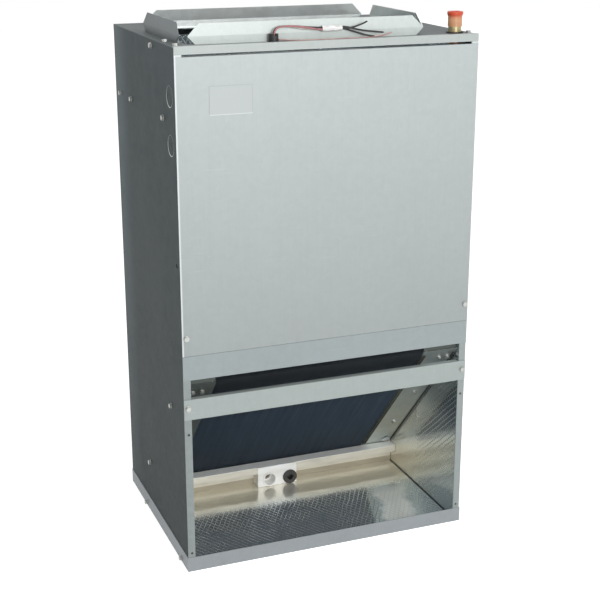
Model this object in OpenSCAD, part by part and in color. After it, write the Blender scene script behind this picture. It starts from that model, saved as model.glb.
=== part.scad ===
// Wall-mounted air handler: a galvanised casing with a blower, a slanted coil and an open return at the foot.
// Origin: centre of the base tray's underside. +Z up, the front faces -Y, +X is to the viewer's right.

/* [Casing] */
// Outside width of the casing across its side panels
cab_w = 538; // [510:2:620]
// Outside depth from the front folded edges to the back panel's outer face
cab_d = 396; // [390:2:460]
// Height from the base tray's underside to the top of the front trim
cab_h = 920; // [890:5:1000]
// Thickness of the galvanised sheet
sheet = 1.2; // [0.8:0.1:1.6]
// Width of the folded front and back edges of a side panel
flange_w = 13; // [11:0.5:18]
// Thickness of the foil-faced lining on the walls
liner_t = 12; // [8:1:14]
// Thickness of the lining on the floor
floor_liner_t = 8; // [6:1:10]
// Height of the base tray's wall
tray_h = 27; // [22:1:34]
// Height of the front trim under the top edge
trim_h = 13; // [12:1:20]
// Depth of the trim's top leg
trim_leg = 6.5; // [4:0.5:7]
// Depth of the top panel's folded lips
lip_h = 20; // [16:1:26]

/* [Front rails and service panel] */
// Height of the open return between the tray and the filter rail
return_h = 263; // [230:1:266]
// Height of the filter rail
filter_rail_h = 37; // [30:1:40]
// Height of the filter gap above the filter rail
filter_gap = 35; // [32:1:45]
// Height of the fixed upper rail
upper_rail_h = 43; // [36:1:50]
// Depth of the rails' folded lips
rail_lip = 10; // [6:1:12]
// Height of the finger slot between the service panel and the trim
slot_h = 4; // [3:0.5:8]
// Length of each ear that closes an end of the finger slot
slot_ear = 12; // [8:1:20]
// Seam between the service panel and the upper rail
seam = 0.6; // [0.4:0.1:1.5]
// Gap between a piece that comes off and what it rests on
seat_gap = 0.3; // [0.2:0.05:0.5]
// Width of the bare plate on the service panel
plate_w = 73; // [40:1:100]
// Height of the bare plate on the service panel
plate_h = 47; // [30:1:60]

/* [Supply collar] */
// Distance of the collar from the left edge of the casing
duct_left = 21; // [16:1:40]
// Distance of the collar behind the front face
duct_front = 24; // [22:1:34]
// Width of the collar
duct_w = 433; // [400:1:440]
// Depth of the collar
duct_d = 258; // [220:1:300]
// Height of the flanges up to their crease
crease_h = 13; // [8:1:18]
// Height of the flanges above their crease
flare_h = 20; // [12:1:26]
// Inward lean of the flanges above their crease, in degrees
flare_lean = 8; // [0:1:15]
// Width of the flanges' feet on the top panel
foot_w = 10; // [8:1:14]
// Distance from a collar corner to the tips of the long flanges
long_tip = 9; // [6:1:20]
// Distance from a collar corner to the tips of the side flanges
side_tip = 20; // [12:1:30]

/* [Coil] */
// Distance of the fin pack from the left edge of the casing
coil_in = 55; // [52:1:62]
// Distance of the fin pack from the right edge of the casing
coil_right_in = 75; // [73:1:90]
// Distance of the coil's top corner behind the front face
coil_front = 9; // [8:1:14]
// Distance of the coil's lowest corner in front of the back lining
coil_back_in = 74.5; // [70:0.5:90]
// Height of the coil's lowest corner
coil_low_z = 25; // [24:1:27]
// Drop from the foot of the upper rail to the coil's top corner
coil_top_drop = 12.2; // [10:0.2:24]
// Distance of the first and the last tube from the ends of the fin pack
tube_edge = 21; // [16:0.5:26]
// Spacing of the two rows of tubes
row_pitch = 22; // [20:0.5:24]
// Number of tubes in a row
tube_count = 16; // [16:8:16]
// Outer diameter of the coil's tubes
tube_d = 9.5; // [8:0.5:10]
// Thickness of the coil's end plates
end_plate_t = 1.5; // [1:0.1:2]

/* [Refrigerant lines] */
// Outer diameter of the suction line
suction_d = 22.2; // [15.9:0.1:22.6]
// Wall of the suction line
suction_wall = 1.1; // [0.8:0.1:1.5]
// Distance of the suction line in from the right edge of the casing
suction_in = 29; // [28:1:32]
// Distance of the suction line behind the front face
suction_back = 32; // [30:1:40]
// Height of the suction stub above the top panel
suction_rise = 31; // [24:1:50]
// Outer diameter of the liquid line
liquid_d = 9.5; // [6:0.5:10]

/* [Drain] */
// Height of the drain pan
pan_h = 32; // [28:1:34]
// Height of the face that hangs from the pan's front edge
pan_lip = 14; // [10:0.5:16]
// Depth of the ledge along the front of the drain pan
pan_rim = 25; // [22:0.5:28]
// Wall of the drain pan
pan_t = 2.5; // [2:0.25:3]
// Distance of the drain block's centre from the left edge of the casing
block_in = 261.5; // [200:0.5:300]
// Width of the drain block
block_w = 82; // [78:1:100]
// How far the drain block's face stands in front of the pan
block_out = 2; // [1.5:0.5:4]
// Height of a drain port's middle above the block's foot
port_up = 15; // [15:0.1:17]
// Distance between the two drain ports
port_gap = 42.5; // [38:0.5:46]
// Bore diameter of a drain port
port_d = 24.1; // [20:0.1:25]

/* [Blower] */
// Drop from the top of the casing to the blower deck
deck_drop = 130; // [120:1:140]
// Distance of the blower scroll behind the front face
scroll_front = 81; // [78:1:100]
// Gap between the blower scroll and the back lining
scroll_clear = 14.6; // [8:0.1:30]
// Width of the blower wheel
wheel_w = 190; // [150:2:200]
// Number of blades on the wheel
blade_count = 32; // [20:2:40]
// Thickness of the blower's sheet
blower_t = 1; // [0.8:0.1:1.5]
// Gap between the motor and the scroll's inlet
motor_gap = 13; // [9:1:24]
// Length of the motor
motor_len = 112; // [90:2:130]
// Diameter of the motor shaft
shaft_d = 12.7; // [10:0.1:14]

/* [Screws and wires] */
// Shank diameter of the screws
screw_d = 4; // [3:0.1:4.4]
// Width of a screw's hexagon across its flats
hex_w = 8; // [6:0.5:9]
// Diameter of the wall fixing holes
wall_hole_d = 8; // [6:0.5:10]
// Distance between the wall fixing holes, sideways
wall_hole_x = 406.4; // [380:0.1:410]
// Distance between the wall fixing holes, up and down
wall_hole_z = 400; // [380:5:405]
// Diameter of a power lead
lead_d = 2.8; // [2:0.1:3]
// Diameter of a control lead
thin_d = 1.8; // [1.2:0.1:2]

/* [Hidden] */
$fn = 48;
eps = 0.01;
hx = cab_w / 2;
inner_x = hx - sheet;
lined_x = inner_x - liner_t;
base_top = sheet;
floor_top = base_top + floor_liner_t;
top_under = cab_h - 2 * sheet;
top_z = cab_h - sheet;
back_in = cab_d - 2 * sheet;
lined_back = back_in - liner_t;
deck_z = cab_h - deck_drop;
deck_top = deck_z + sheet;
filter_rail_z = tray_h + return_h;
gap_z = filter_rail_z + filter_rail_h;
upper_rail_z = gap_z + filter_gap;
panel_z = upper_rail_z + upper_rail_h + seam;
panel_top = cab_h - trim_h - slot_h;
deck_in = 14;
deck_lip = 16;
open_x = hx - flange_w - 0.6;

// Screws on the sides, as distance behind the front and height
side_lip_screws = [[133, cab_h - 12]];
deck_screws = [[71, deck_z + 8], [281, deck_z + 8], [cab_d - 36, deck_z + 8]];
tray_screws = [[42, 6], [281, 6]];
top_screws = [20, 82];
top_screw_in = 9;
knockouts = [[34, cab_h - 89], [34, cab_h - 168]];
knockout_d = 22;
pilot_place = [17, 560];
pilot_d = 8;
front_screw_in = 7;
panel_screw_z = panel_z + 32;
filter_screw_z = filter_rail_z + 21;
flange_hole_z = [filter_rail_z - 28, tray_h + 8];
screw_hole = screw_d + 0.6;
washer_d = 10;
washer_t = 0.9;
hex_h = 3.4;
short_shank = 7;
long_shank = sheet + liner_t + sheet + 3;
plate_shank = 4;
lining_hole = 8;

// Collar
duct_x = -hx + duct_left + duct_w / 2;
duct_back = duct_front + duct_d;
open_half = duct_w / 2 - foot_w;
open_front = duct_front + foot_w;
open_back = duct_back - foot_w;

// Coil
coil_t = 2 * row_pitch;
coil_x0 = -hx + coil_in;
coil_x1 = hx - coil_right_in;
coil_rise = upper_rail_z - coil_top_drop - coil_low_z;
coil_run = lined_back - coil_back_in - coil_front;
coil_angle = round(10 * atan2(coil_rise, coil_run)) / 10;
coil_len = round(coil_run / cos(coil_angle));
coil_top_z = coil_low_z + coil_len * sin(coil_angle);
low_back = coil_front + coil_len * cos(coil_angle);
tube_pitch = floor(10 * (coil_len - 2 * tube_edge) / (tube_count - 1)) / 10;
tube_start = (coil_len - (tube_count - 1) * tube_pitch) / 2;
circuit = tube_count / 2;
row_z = [row_pitch / 2, row_pitch * 1.5];
tube_hole = tube_d + 0.4;
bend_out = 7;
tube_left = coil_x0 - end_plate_t - bend_out;
tube_right = coil_x1 + end_plate_t + bend_out;
channel_lip = 30;
ledge = 6;
channel_screw_y = [95, 340];
channel_screw_z = 10;
plate_screws = [[10, 28], [27, 28], [27, 170], [27, 300]];
pan_under = 5;
channel_len = coil_len - (pan_h - pan_under + 1 + sheet) / sin(coil_angle);

// Drain
rim_clear = (pan_h - pan_under + 1 + sheet / cos(coil_angle)) / tan(coil_angle);
pan_front = low_back - pan_rim - rim_clear;
pan_z = coil_low_z - pan_under;
pan_top = pan_z + pan_h;
lip_z = pan_top - pan_lip;
pan_back = low_back + coil_t * sin(coil_angle) + 12;
pan_back_h = 26;
pan_half = lined_x - 0.5;
basin_front = pan_front + pan_rim - pan_t;
sill_t = 8.5;
block_x = -hx + block_in;
port_shift = 4.5;
block_z = floor_top + 0.3;
port_z = block_z + port_up;
ring_out = 2.5;
ring_d = port_d + 4.9;
port_deep = 22;
mouth_in = pan_front - block_out - ring_out;
block_d = basin_front - mouth_in;
port_x = [block_x + port_shift - port_gap / 2, block_x + port_shift + port_gap / 2];
pan_hole_d = 17;
plug_gap = 0.3;
plug_in = 15;
plug_head_d = port_d + 5.1;
plug_head_t = 2.4;
plug_socket_w = 11;
plug_socket_deep = 8;

// Suction line and cap
suction_x = hx - suction_in;
suction_bend = 40;
header_z = row_z[1];
bend_shift = suction_bend * (1 - sin(coil_angle));
header_top = (suction_back + bend_shift - coil_front - header_z * sin(coil_angle)) / cos(coil_angle);
header_end = tube_start + circuit * tube_pitch + 22;
bend_y = coil_front + header_top * cos(coil_angle) + header_z * sin(coil_angle);
bend_z = coil_top_z - header_top * sin(coil_angle) + header_z * cos(coil_angle);
riser_z = bend_z + suction_bend * cos(coil_angle);
stub_top = top_z + suction_rise;
cap_wall = 0.7;
cap_skirt = 20;
cap_rim_d = suction_d + 5;
cap_rim_t = 5;
grommet_h = 2.2;
manifold_end = header_end + 24;
liquid_lift = 86;
piston_d = 18;
piston_h = 34;
liquid_up = 95;
elbow_more = 1;

// Blower
blower_x = duct_x;
wheel_clear = 5;
scroll_grow = 51;
cut_angle = 75;
turn = 180 + cut_angle;
wheel_d = lined_back - scroll_front - scroll_clear - 2 * wheel_clear - scroll_grow * (1 + cut_angle / turn);
scroll_min = wheel_d / 2 + wheel_clear;
scroll_max = scroll_min + scroll_grow;
axis_y = -cab_d / 2 + scroll_front + scroll_max;
axis_drop = scroll_min + 30;
axis_z = deck_z - axis_drop;
cut_y = scroll_min * cos(cut_angle);
cut_z = scroll_min * sin(cut_angle);
house_half = wheel_w / 2 + 5;
inlet_r = wheel_d / 2 - 24;
motor_d = 2 * (inlet_r - motor_gap);
blade_in = wheel_d / 2 - 19;
blade_out = wheel_d / 2 - 1;
ring_w = 5;
disc_t = 1.6;
hub_d = 32;
hub_len = 28;
shaft_gap = 0.05;
motor_start = 24;
motor_end = motor_start + motor_len;
band_w = 16;
band_t = 2;
arm_r = wheel_d / 2 + 12;
arm_w = 14;
arm_t = 3;
arm_angles = [90, 210, 330];
grommet_t = 6;
grommet_r = 7;
arm_x = house_half + blower_t + grommet_t;
outlet_flange = 10;
seam_out = 2;
capacitor_d = 44;
capacitor_h = 70;
capacitor_drop = 110;
strap_w = 12;
strap_t = 1.2;

// Heater
heater_front = 72;
heater_half = 116;
heater_h = 104;
element_d = 8;
element_x = [-68, 0, 68];
element_leg = 36;
element_len = 140;
element_z = 55;
element_tail = 12;
limit_d = 24;
limit_t = 9;

// Control box
box_w = 160;
box_h = 178;
box_d = 50;
box_front = 21;
box_x = -lined_x + 14;
wire_hole_d = 16;
wire_hole_in = 40;
wire_hole_step = 35;
wire_hole_back = 22;
board_in = 14;
board_w = 96;
board_h = 84;
board_t = 1.6;
standoff = 8;

// Bushing, sleeve and wires on the top panel
bush_x = -97;
bush_back = 15;
bush_d = 15.5;
bush_neck = 11;
bush_top = cab_h + 12;
bush_slot_z = cab_h + 9;
bush_slot_w = lead_d + 0.9;
sleeve_x = [-12, 23];
sleeve_back = 18.4;
sleeve_z = cab_h + 16.6;
sleeve_d = 10;
sleeve_bore = 7.4;
lead_sides = 8;
lead_rings = 16;

// Routes of the leads, chosen by hand, in millimetres from the casing's own frame
black_route = [[-97, -183, 929], [-97, -183, 933], [-95, -183, 938], [-90, -182.5, 941.5],
    [-82, -182, 943], [-60, -181, 942.5], [-36, -180, 940], [-20, -179.7, 938.7], [-12, -179.6, 938.6],
    [6, -179.6, 938.6], [23, -179.6, 938.6], [34, -180, 937.5], [48, -181, 934], [64, -182, 931],
    [80, -183, 929], [97, -184, 927]];
red_route = [[-97, -186.3, 929], [-97, -186.3, 933], [-95, -186.3, 938], [-90, -186, 941.5],
    [-82, -185.6, 943], [-60, -184.6, 942.5], [-36, -183, 939], [-20, -181.4, 935.8],
    [-12, -181.3, 935.6], [6, -181.3, 935.6], [23, -181.3, 935.6], [34, -183.1, 936],
    [44, -184.6, 938.2], [53, -185.4, 941], [60, -186.4, 943.6], [66, -187, 946.4]];
white_route = [[-97, -179.7, 929], [-97, -179.7, 933], [-95, -179.7, 938], [-90, -179.4, 941.5],
    [-82, -179, 943], [-60, -177.8, 940], [-36, -177.6, 936.6], [-20, -177.9, 935.7],
    [-12, -177.9, 935.6], [6, -177.9, 935.6], [23, -177.9, 935.6], [34, -178.4, 933.6],
    [48, -180.4, 929.2], [60, -182.4, 925.6], [70, -183.8, 923], [80, -185, 921.2]];
pink_thin_route = [[-89.4, -185.6, 922], [-84, -185.6, 922], [-76, -186, 921.4], [-64, -186.8, 920.4],
    [-46, -187.8, 920], [-28, -188.6, 920], [-10, -188.8, 920], [8, -188, 920], [26, -187, 920],
    [44, -186.8, 920], [60, -187.4, 920], [74, -188.4, 920.4], [86, -189.4, 921.4], [96, -189.6, 923],
    [104, -189.2, 925], [110, -188.6, 927.4]];
white_thin_route = [[-89.1, -181.4, 922], [-84, -181.4, 922], [-76, -181.6, 921.4], [-64, -182, 920.4],
    [-46, -182.8, 920], [-28, -183.8, 920], [-10, -184.6, 920], [8, -185, 920], [26, -184, 920],
    [42, -182.6, 920], [56, -180.8, 920], [68, -179, 920], [78, -177.8, 920.4], [86, -177.4, 921.2],
    [94, -177.6, 922.4], [101, -178.2, 924]];

galv = [0.72, 0.76, 0.76];
galv_dark = [0.5, 0.54, 0.54];
foil = [0.62, 0.64, 0.62];
copper = [0.72, 0.45, 0.25];

// y at a distance behind the casing's front face
function fy(d) = d - cab_d / 2;

// A block between two x, two y and two z values
module slab(x, y, z) {
    translate([x[0], y[0], z[0]]) cube([x[1] - x[0], y[1] - y[0], z[1] - z[0]]);
}

// A round bar along X between two x values
module bar_x(x, d, fn = 48) {
    translate([x[0], 0, 0]) rotate([0, 90, 0]) cylinder(d = d, h = x[1] - x[0], $fn = fn);
}

// A hexagon washer-head screw: the head stands on z = 0 and the shank points down
module hex_screw(shank) {
    cylinder(d = washer_d, h = washer_t, $fn = 24);
    translate([0, 0, washer_t - eps]) cylinder(d = hex_w / cos(30), h = hex_h, $fn = 6);
    translate([0, 0, -shank]) cylinder(d = screw_d, h = shank + eps, $fn = 16);
}

module facing_left() { rotate([0, -90, 0]) children(); }
module facing_front() { rotate([90, 0, 0]) children(); }

// Children are placed at each [distance behind the front, height] on the outside of the left side panel
module on_left_side(places, out = 0) {
    for (p = places) translate([-hx - out, fy(p[0]), p[1]]) facing_left() children();
}

// Where the coil channels' screws meet the side panels
channel_places = [for (u = channel_screw_y)
    [coil_front + u * cos(coil_angle) + channel_screw_z * sin(coil_angle),
     coil_top_z - u * sin(coil_angle) + channel_screw_z * cos(coil_angle)]];

// Frame of the sloping coil: y runs down the slope to the back, z stands off its upper face
module on_slope() {
    translate([0, fy(coil_front), coil_top_z]) rotate([-coil_angle, 0, 0]) children();
}

module drill(depth, d) { translate([0, 0, -depth]) cylinder(d = d, h = 2 * depth, $fn = 24); }

module base_tray() {
    color(galv) difference() {
        slab([-hx - sheet, hx + sheet], [fy(-sheet), fy(cab_d)], [0, tray_h]);
        slab([-hx, hx], [fy(0), fy(cab_d) + 1], [sheet, tray_h + 1]);
        for (side = [0, 1]) mirror([side, 0, 0]) on_left_side(tray_screws) drill(4 * sheet, screw_hole);
    }
}

// One half of an annular cut that leaves a punched disc held by two bridges
module knockout_cut() {
    for (half = [0, 180]) rotate([0, 0, half]) translate([0, 0, -2 * sheet]) linear_extrude(4 * sheet)
        difference() {
            circle(d = knockout_d, $fn = 48);
            circle(d = knockout_d - 1.4, $fn = 48);
            translate([-knockout_d, -knockout_d]) square([2 * knockout_d, knockout_d + 1.5]);
        }
}

module left_side() {
    difference() {
        union() {
            slab([-hx, -inner_x], [fy(0), fy(cab_d - sheet)], [base_top, top_under]);
            slab([-hx, -hx + flange_w], [fy(0), fy(sheet)], [base_top, top_under]);
            slab([-hx, -hx + flange_w], [fy(back_in), fy(back_in + sheet)], [base_top, top_under]);
        }
        on_left_side(concat(side_lip_screws, deck_screws, tray_screws, channel_places))
            drill(3 * sheet, screw_hole);
        on_left_side(knockouts) knockout_cut();
        on_left_side([pilot_place]) drill(3 * sheet, pilot_d);
        for (z = concat([panel_screw_z, filter_screw_z], flange_hole_z))
            translate([-hx + front_screw_in, fy(0), z]) facing_front() drill(3 * sheet, screw_hole);
    }
}

module left_side_panel() { color(galv_dark) left_side(); }
module right_side_panel() { color(galv_dark) mirror([1, 0, 0]) left_side(); }

// Children at the four wall fixing holes, with z along +Y
module at_wall_holes() {
    for (x = [-1, 1], z = [-1, 1])
        translate([x * wall_hole_x / 2, fy(cab_d), deck_z - 150 + z * wall_hole_z / 2])
            rotate([-90, 0, 0]) children();
}

module back_panel() {
    color(galv_dark) difference() {
        slab([-hx, hx], [fy(cab_d - sheet), fy(cab_d)], [base_top, top_under]);
        at_wall_holes() drill(3 * sheet, wall_hole_d);
    }
}

module top_panel() {
    lip_y = [fy(2 * sheet), fy(back_in)];
    color(galv) difference() {
        union() {
            slab([-hx, hx], [fy(0), fy(cab_d)], [top_under, top_z]);
            for (side = [0, 1]) mirror([side, 0, 0])
                slab([-inner_x, -inner_x + sheet], lip_y, [top_under - lip_h, top_under + eps]);
            slab([-inner_x, inner_x], [fy(back_in - sheet), fy(back_in)],
                [top_under - lip_h, top_under + eps]);
        }
        slab([duct_x - open_half, duct_x + open_half], [fy(open_front), fy(open_back)],
            [top_under - 1, top_z + 1]);
        for (side = [0, 1]) mirror([side, 0, 0]) {
            on_left_side(side_lip_screws) drill(4 * sheet, screw_hole);
            at_top_screws() drill(3 * sheet, screw_hole);
        }
        translate([suction_x, fy(suction_back), top_z]) drill(3 * sheet, suction_d + 3);
        translate([bush_x, fy(bush_back), top_z]) drill(3 * sheet, bush_neck + 0.4);
    }
}

module top_trim() {
    color(galv) {
        slab([-hx, hx], [fy(-sheet), fy(0)], [cab_h - trim_h, cab_h]);
        slab([-hx, hx], [fy(-sheet), fy(trim_leg)], [top_z, cab_h]);
    }
}

// A bent duct flange with pointed ends, along X, its outside towards -Y and its foot on z = 0
module duct_flange(len) {
    half = len / 2;
    translate([0, sheet, 0]) rotate([90, 0, 0]) linear_extrude(sheet)
        polygon([[crease_h - half, 0], [half - crease_h, 0], [half, crease_h], [-half, crease_h]]);
    translate([0, 0, crease_h - eps]) rotate([-flare_lean, 0, 0]) translate([0, sheet, 0]) rotate([90, 0, 0])
        linear_extrude(sheet)
            polygon([[-half, 0], [half, 0], [half - flare_h, flare_h], [flare_h - half, flare_h]]);
    slab([crease_h - half, half - crease_h], [0, foot_w], [0, sheet]);
}

module front_duct_flange() {
    color(galv) translate([duct_x, fy(duct_front), top_z]) duct_flange(duct_w - 2 * long_tip);
}
module back_duct_flange() {
    color(galv) translate([duct_x, fy(duct_back), top_z]) rotate([0, 0, 180])
        duct_flange(duct_w - 2 * long_tip);
}
module left_duct_flange() {
    color(galv_dark) translate([-hx + duct_left, fy((duct_front + duct_back) / 2), top_z]) rotate([0, 0, -90])
        duct_flange(duct_d - 2 * side_tip);
}
module right_duct_flange() {
    color(galv_dark) translate([-hx + duct_left + duct_w, fy((duct_front + duct_back) / 2), top_z])
        rotate([0, 0, 90]) duct_flange(duct_d - 2 * side_tip);
}

// A front rail: a plate with folded lips along its top and bottom edges
module rail(z0, height, stand_off) {
    y0 = fy(-sheet - stand_off);
    slab([-hx, hx], [y0, y0 + sheet], [z0, z0 + height]);
    slab([-open_x, open_x], [y0, fy(rail_lip)], [z0, z0 + sheet]);
    slab([-open_x, open_x], [y0, fy(rail_lip)], [z0 + height - sheet, z0 + height]);
}

module upper_rail() { color(galv) rail(upper_rail_z, upper_rail_h, 0); }

module filter_rail() {
    color(galv) difference() {
        rail(filter_rail_z, filter_rail_h, seat_gap);
        for (side = [-1, 1]) translate([side * (hx - front_screw_in), fy(0), filter_screw_z])
            facing_front() drill(3 * sheet, screw_hole);
    }
}

module filter_rail_screws() {
    color("silver") for (side = [-1, 1])
        translate([side * (hx - front_screw_in), fy(-sheet - seat_gap), filter_screw_z])
            facing_front() hex_screw(short_shank);
}

// Children on top of the left edge of the top panel
module at_top_screws() {
    for (d = top_screws) translate([-hx + top_screw_in, fy(d), top_z]) children();
}

module casing_screws() {
    color("silver") for (side = [0, 1]) mirror([side, 0, 0]) {
        on_left_side(concat(side_lip_screws, deck_screws)) hex_screw(short_shank);
        on_left_side(tray_screws, sheet) hex_screw(short_shank);
        on_left_side(channel_places) hex_screw(long_shank);
        at_top_screws() hex_screw(short_shank);
        on_slope() for (p = plate_screws) translate([-lined_x + p[0], p[1], -sheet]) rotate([180, 0, 0])
            hex_screw(plate_shank);
    }
}

module floor_lining() {
    color(foil) difference() {
        slab([-inner_x, inner_x], [fy(sheet), fy(back_in)], [base_top, floor_top]);
        for (side = [0, 1]) mirror([side, 0, 0]) on_left_side(tray_screws) drill(short_shank + 1, screw_hole);
    }
}

module left_lining_shape() {
    difference() {
        slab([-inner_x, -lined_x], [fy(sheet), fy(lined_back)], [floor_top, deck_z]);
        on_left_side(channel_places) drill(3 * liner_t, lining_hole);
        on_left_side(deck_screws) drill(short_shank + 1, lining_hole);
        for (z = [panel_screw_z, filter_screw_z]) translate([-hx + front_screw_in, fy(0), z]) facing_front()
            drill(short_shank + 2, lining_hole);
    }
    difference() {
        slab([-inner_x + sheet, -lined_x + sheet], [fy(liner_t + 1), fy(lined_back)],
            [deck_top, top_under - lip_h - 1]);
        on_left_side(concat(side_lip_screws, deck_screws)) drill(short_shank + 1, lining_hole);
    }
}

module left_lining() { color(foil) left_lining_shape(); }
module right_lining() { color(foil) mirror([1, 0, 0]) left_lining_shape(); }

module back_lining() {
    color(foil) difference() {
        slab([-inner_x, inner_x], [fy(lined_back), fy(back_in)], [floor_top, top_under - lip_h - 1]);
        slab([-inner_x - 1, inner_x + 1], [fy(lined_back) - 1, fy(back_in) + 1], [deck_z, deck_top]);
        at_wall_holes() drill(3 * liner_t, wall_hole_d + 8);
    }
}

module drain_pan() {
    f = fy(pan_front);
    w = fy(basin_front);
    r = w + pan_t;
    b = fy(pan_back);
    color([0.85, 0.84, 0.76]) difference() {
        union() {
            rotate([90, 0, 90]) translate([0, 0, -pan_half]) linear_extrude(2 * pan_half) polygon([
                [f, lip_z], [f, pan_top], [r, pan_top], [r, pan_z + pan_t], [b - pan_t, pan_z + pan_t],
                [b - pan_t, pan_z + pan_back_h], [b, pan_z + pan_back_h], [b, pan_z], [w, pan_z],
                [w, pan_top - pan_t], [f + pan_t, pan_top - pan_t], [f + pan_t, lip_z]]);
            for (side = [0, 1]) mirror([side, 0, 0]) {
                slab([-pan_half, -pan_half + pan_t], [f, b], [lip_z, pan_top]);
                slab([-pan_half, -pan_half + pan_t], [w, b], [pan_z, pan_top]);
            }
        }
        for (x = port_x) translate([x, w, port_z]) facing_front() drill(pan_t + 1, pan_hole_d);
    }
}

// Sill that carries the pan's front across the whole width, flush with the basin's front wall
module pan_sill() {
    color([0.85, 0.84, 0.76]) difference() {
        slab([-pan_half, pan_half], [fy(basin_front), fy(basin_front + sill_t)], [floor_top, pan_z]);
        for (x = port_x) translate([x, fy(basin_front), port_z]) facing_front() drill(2 * sill_t, pan_hole_d);
    }
}

// Block with the two drain ports: it fills the space under the ledge, and its face covers the pan's face
module drain_block() {
    wide = [block_x - block_w / 2, block_x + block_w / 2];
    face = fy(pan_front - block_out);
    color([0.93, 0.93, 0.9]) difference() {
        union() {
            slab(wide, [face, fy(pan_front)], [block_z, pan_top]);
            slab(wide, [face, fy(basin_front)], [block_z, lip_z]);
            for (x = port_x) translate([x, face + 1, port_z]) facing_front()
                cylinder(d = ring_d, h = ring_out + 1);
        }
        for (x = port_x) translate([x, fy(basin_front), port_z]) facing_front() {
            translate([0, 0, -1]) cylinder(d = pan_hole_d, h = block_d + 2);
            translate([0, 0, block_d - port_deep]) cylinder(d = port_d, h = block_d);
        }
    }
}

module drain_plug() {
    face = fy(mouth_in);
    color([0.1, 0.1, 0.1]) translate([port_x[1], face, port_z]) facing_front() difference() {
        union() {
            translate([0, 0, -plug_in]) cylinder(d = port_d - 2 * plug_gap, h = plug_in + plug_gap + eps);
            translate([0, 0, plug_gap]) cylinder(d = plug_head_d, h = plug_head_t);
        }
        translate([0, 0, plug_gap + plug_head_t - plug_socket_deep])
            cylinder(d = plug_socket_w / cos(45), h = plug_socket_deep + 1, $fn = 4);
    }
}

function tube_y(i) = tube_start + i * tube_pitch;

module coil_fin_pack() {
    color([0.22, 0.27, 0.33]) on_slope() difference() {
        slab([coil_x0, coil_x1], [0, coil_len], [0, coil_t]);
        for (i = [0 : tube_count - 1], z = row_z) translate([coil_x0 - 1, tube_y(i), z])
            rotate([0, 90, 0]) cylinder(d = tube_hole, h = coil_x1 - coil_x0 + 2, $fn = 16);
    }
}

module coil_end_plates() {
    color(galv) on_slope() for (x = [coil_x0 - end_plate_t, coil_x1]) difference() {
        slab([x, x + end_plate_t], [0, coil_len], [0, coil_t + 6]);
        for (i = [0 : tube_count - 1], z = row_z) translate([x - 1, tube_y(i), z])
            rotate([0, 90, 0]) cylinder(d = tube_hole, h = end_plate_t + 2, $fn = 16);
    }
}

// A half turn of tube between two tube ends at x
module half_turn(x, y0, y1, z, flip) {
    translate([x, (y0 + y1) / 2, z]) mirror([flip, 0, 0]) rotate([0, 0, 90])
        rotate_extrude(angle = 180, $fn = 32) translate([abs(y1 - y0) / 2, 0]) circle(d = tube_d, $fn = 16);
}

module coil_hairpins() {
    color(copper) on_slope() for (i = [0 : 2 : tube_count - 2], z = row_z) {
        for (k = [i, i + 1]) translate([0, tube_y(k), z]) bar_x([tube_left, tube_right], tube_d, 16);
        half_turn(tube_left, tube_y(i), tube_y(i + 1), z, 0);
    }
}

module return_bends() {
    color(copper) on_slope() {
        for (i = [0 : tube_count - 2], z = row_z) if (i % circuit % 2 == 1 && i % circuit != circuit - 1)
            half_turn(tube_right, tube_y(i), tube_y(i + 1), z, 1);
        for (i = [circuit - 1 : circuit : tube_count - 1]) translate([0, tube_y(i), coil_t / 2])
            rotate([90, 0, 0]) half_turn(tube_right, -row_pitch / 2, row_pitch / 2, 0, 1);
    }
}

// Channel along one end of the coil: it blanks the gap to the wall and carries the coil on its ledge
module coil_channel(wall, coil_edge) {
    low = min(wall, coil_edge);
    high = max(wall, coil_edge);
    into = coil_edge > wall ? 1 : -1;
    on_slope() difference() {
        union() {
            slab([low, high], [0, channel_len], [-sheet, 0]);
            slab([min(wall, wall + into * sheet), max(wall, wall + into * sheet)], [0, channel_len],
                [-sheet, channel_lip]);
        }
        for (p = plate_screws) translate([wall + into * p[0], p[1], 0]) drill(2 * sheet, screw_hole);
        for (y = channel_screw_y) translate([wall, y, channel_screw_z]) rotate([0, 90, 0])
            drill(2 * sheet, screw_hole);
    }
}

module left_coil_channel() { color(galv) coil_channel(-lined_x, coil_x0 + ledge); }
module right_coil_channel() { color(galv) coil_channel(lined_x, coil_x1 - ledge); }

// The suction run as a solid bar of one diameter: riser, bend and header
module suction_run(d, over, stop) {
    translate([suction_x, fy(suction_back), riser_z]) cylinder(d = d, h = stub_top - riser_z + over);
    translate([suction_x, fy(bend_y + suction_bend * sin(coil_angle)), riser_z]) rotate([90, 0, 90])
        rotate([0, 0, 180]) rotate_extrude(angle = 90 - coil_angle, $fn = 96)
            translate([suction_bend, 0]) circle(d = d, $fn = 48);
    on_slope() translate([suction_x, header_top, header_z]) rotate([-90, 0, 0])
        cylinder(d = d, h = header_end - header_top - stop);
}

module suction_line() {
    color(copper) difference() {
        union() {
            suction_run(suction_d, 0, 0);
            on_slope() for (i = [0, circuit]) translate([0, tube_y(i), header_z])
                bar_x([tube_right, suction_x], tube_d, 16);
        }
        suction_run(suction_d - 2 * suction_wall, 1, suction_wall);
    }
}

module suction_grommet() {
    color([0.12, 0.12, 0.12]) translate([suction_x, fy(suction_back), top_z]) difference() {
        cylinder(d = suction_d + 7, h = grommet_h);
        translate([0, 0, -1]) cylinder(d = suction_d + 0.4, h = grommet_h + 2);
    }
}

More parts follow.
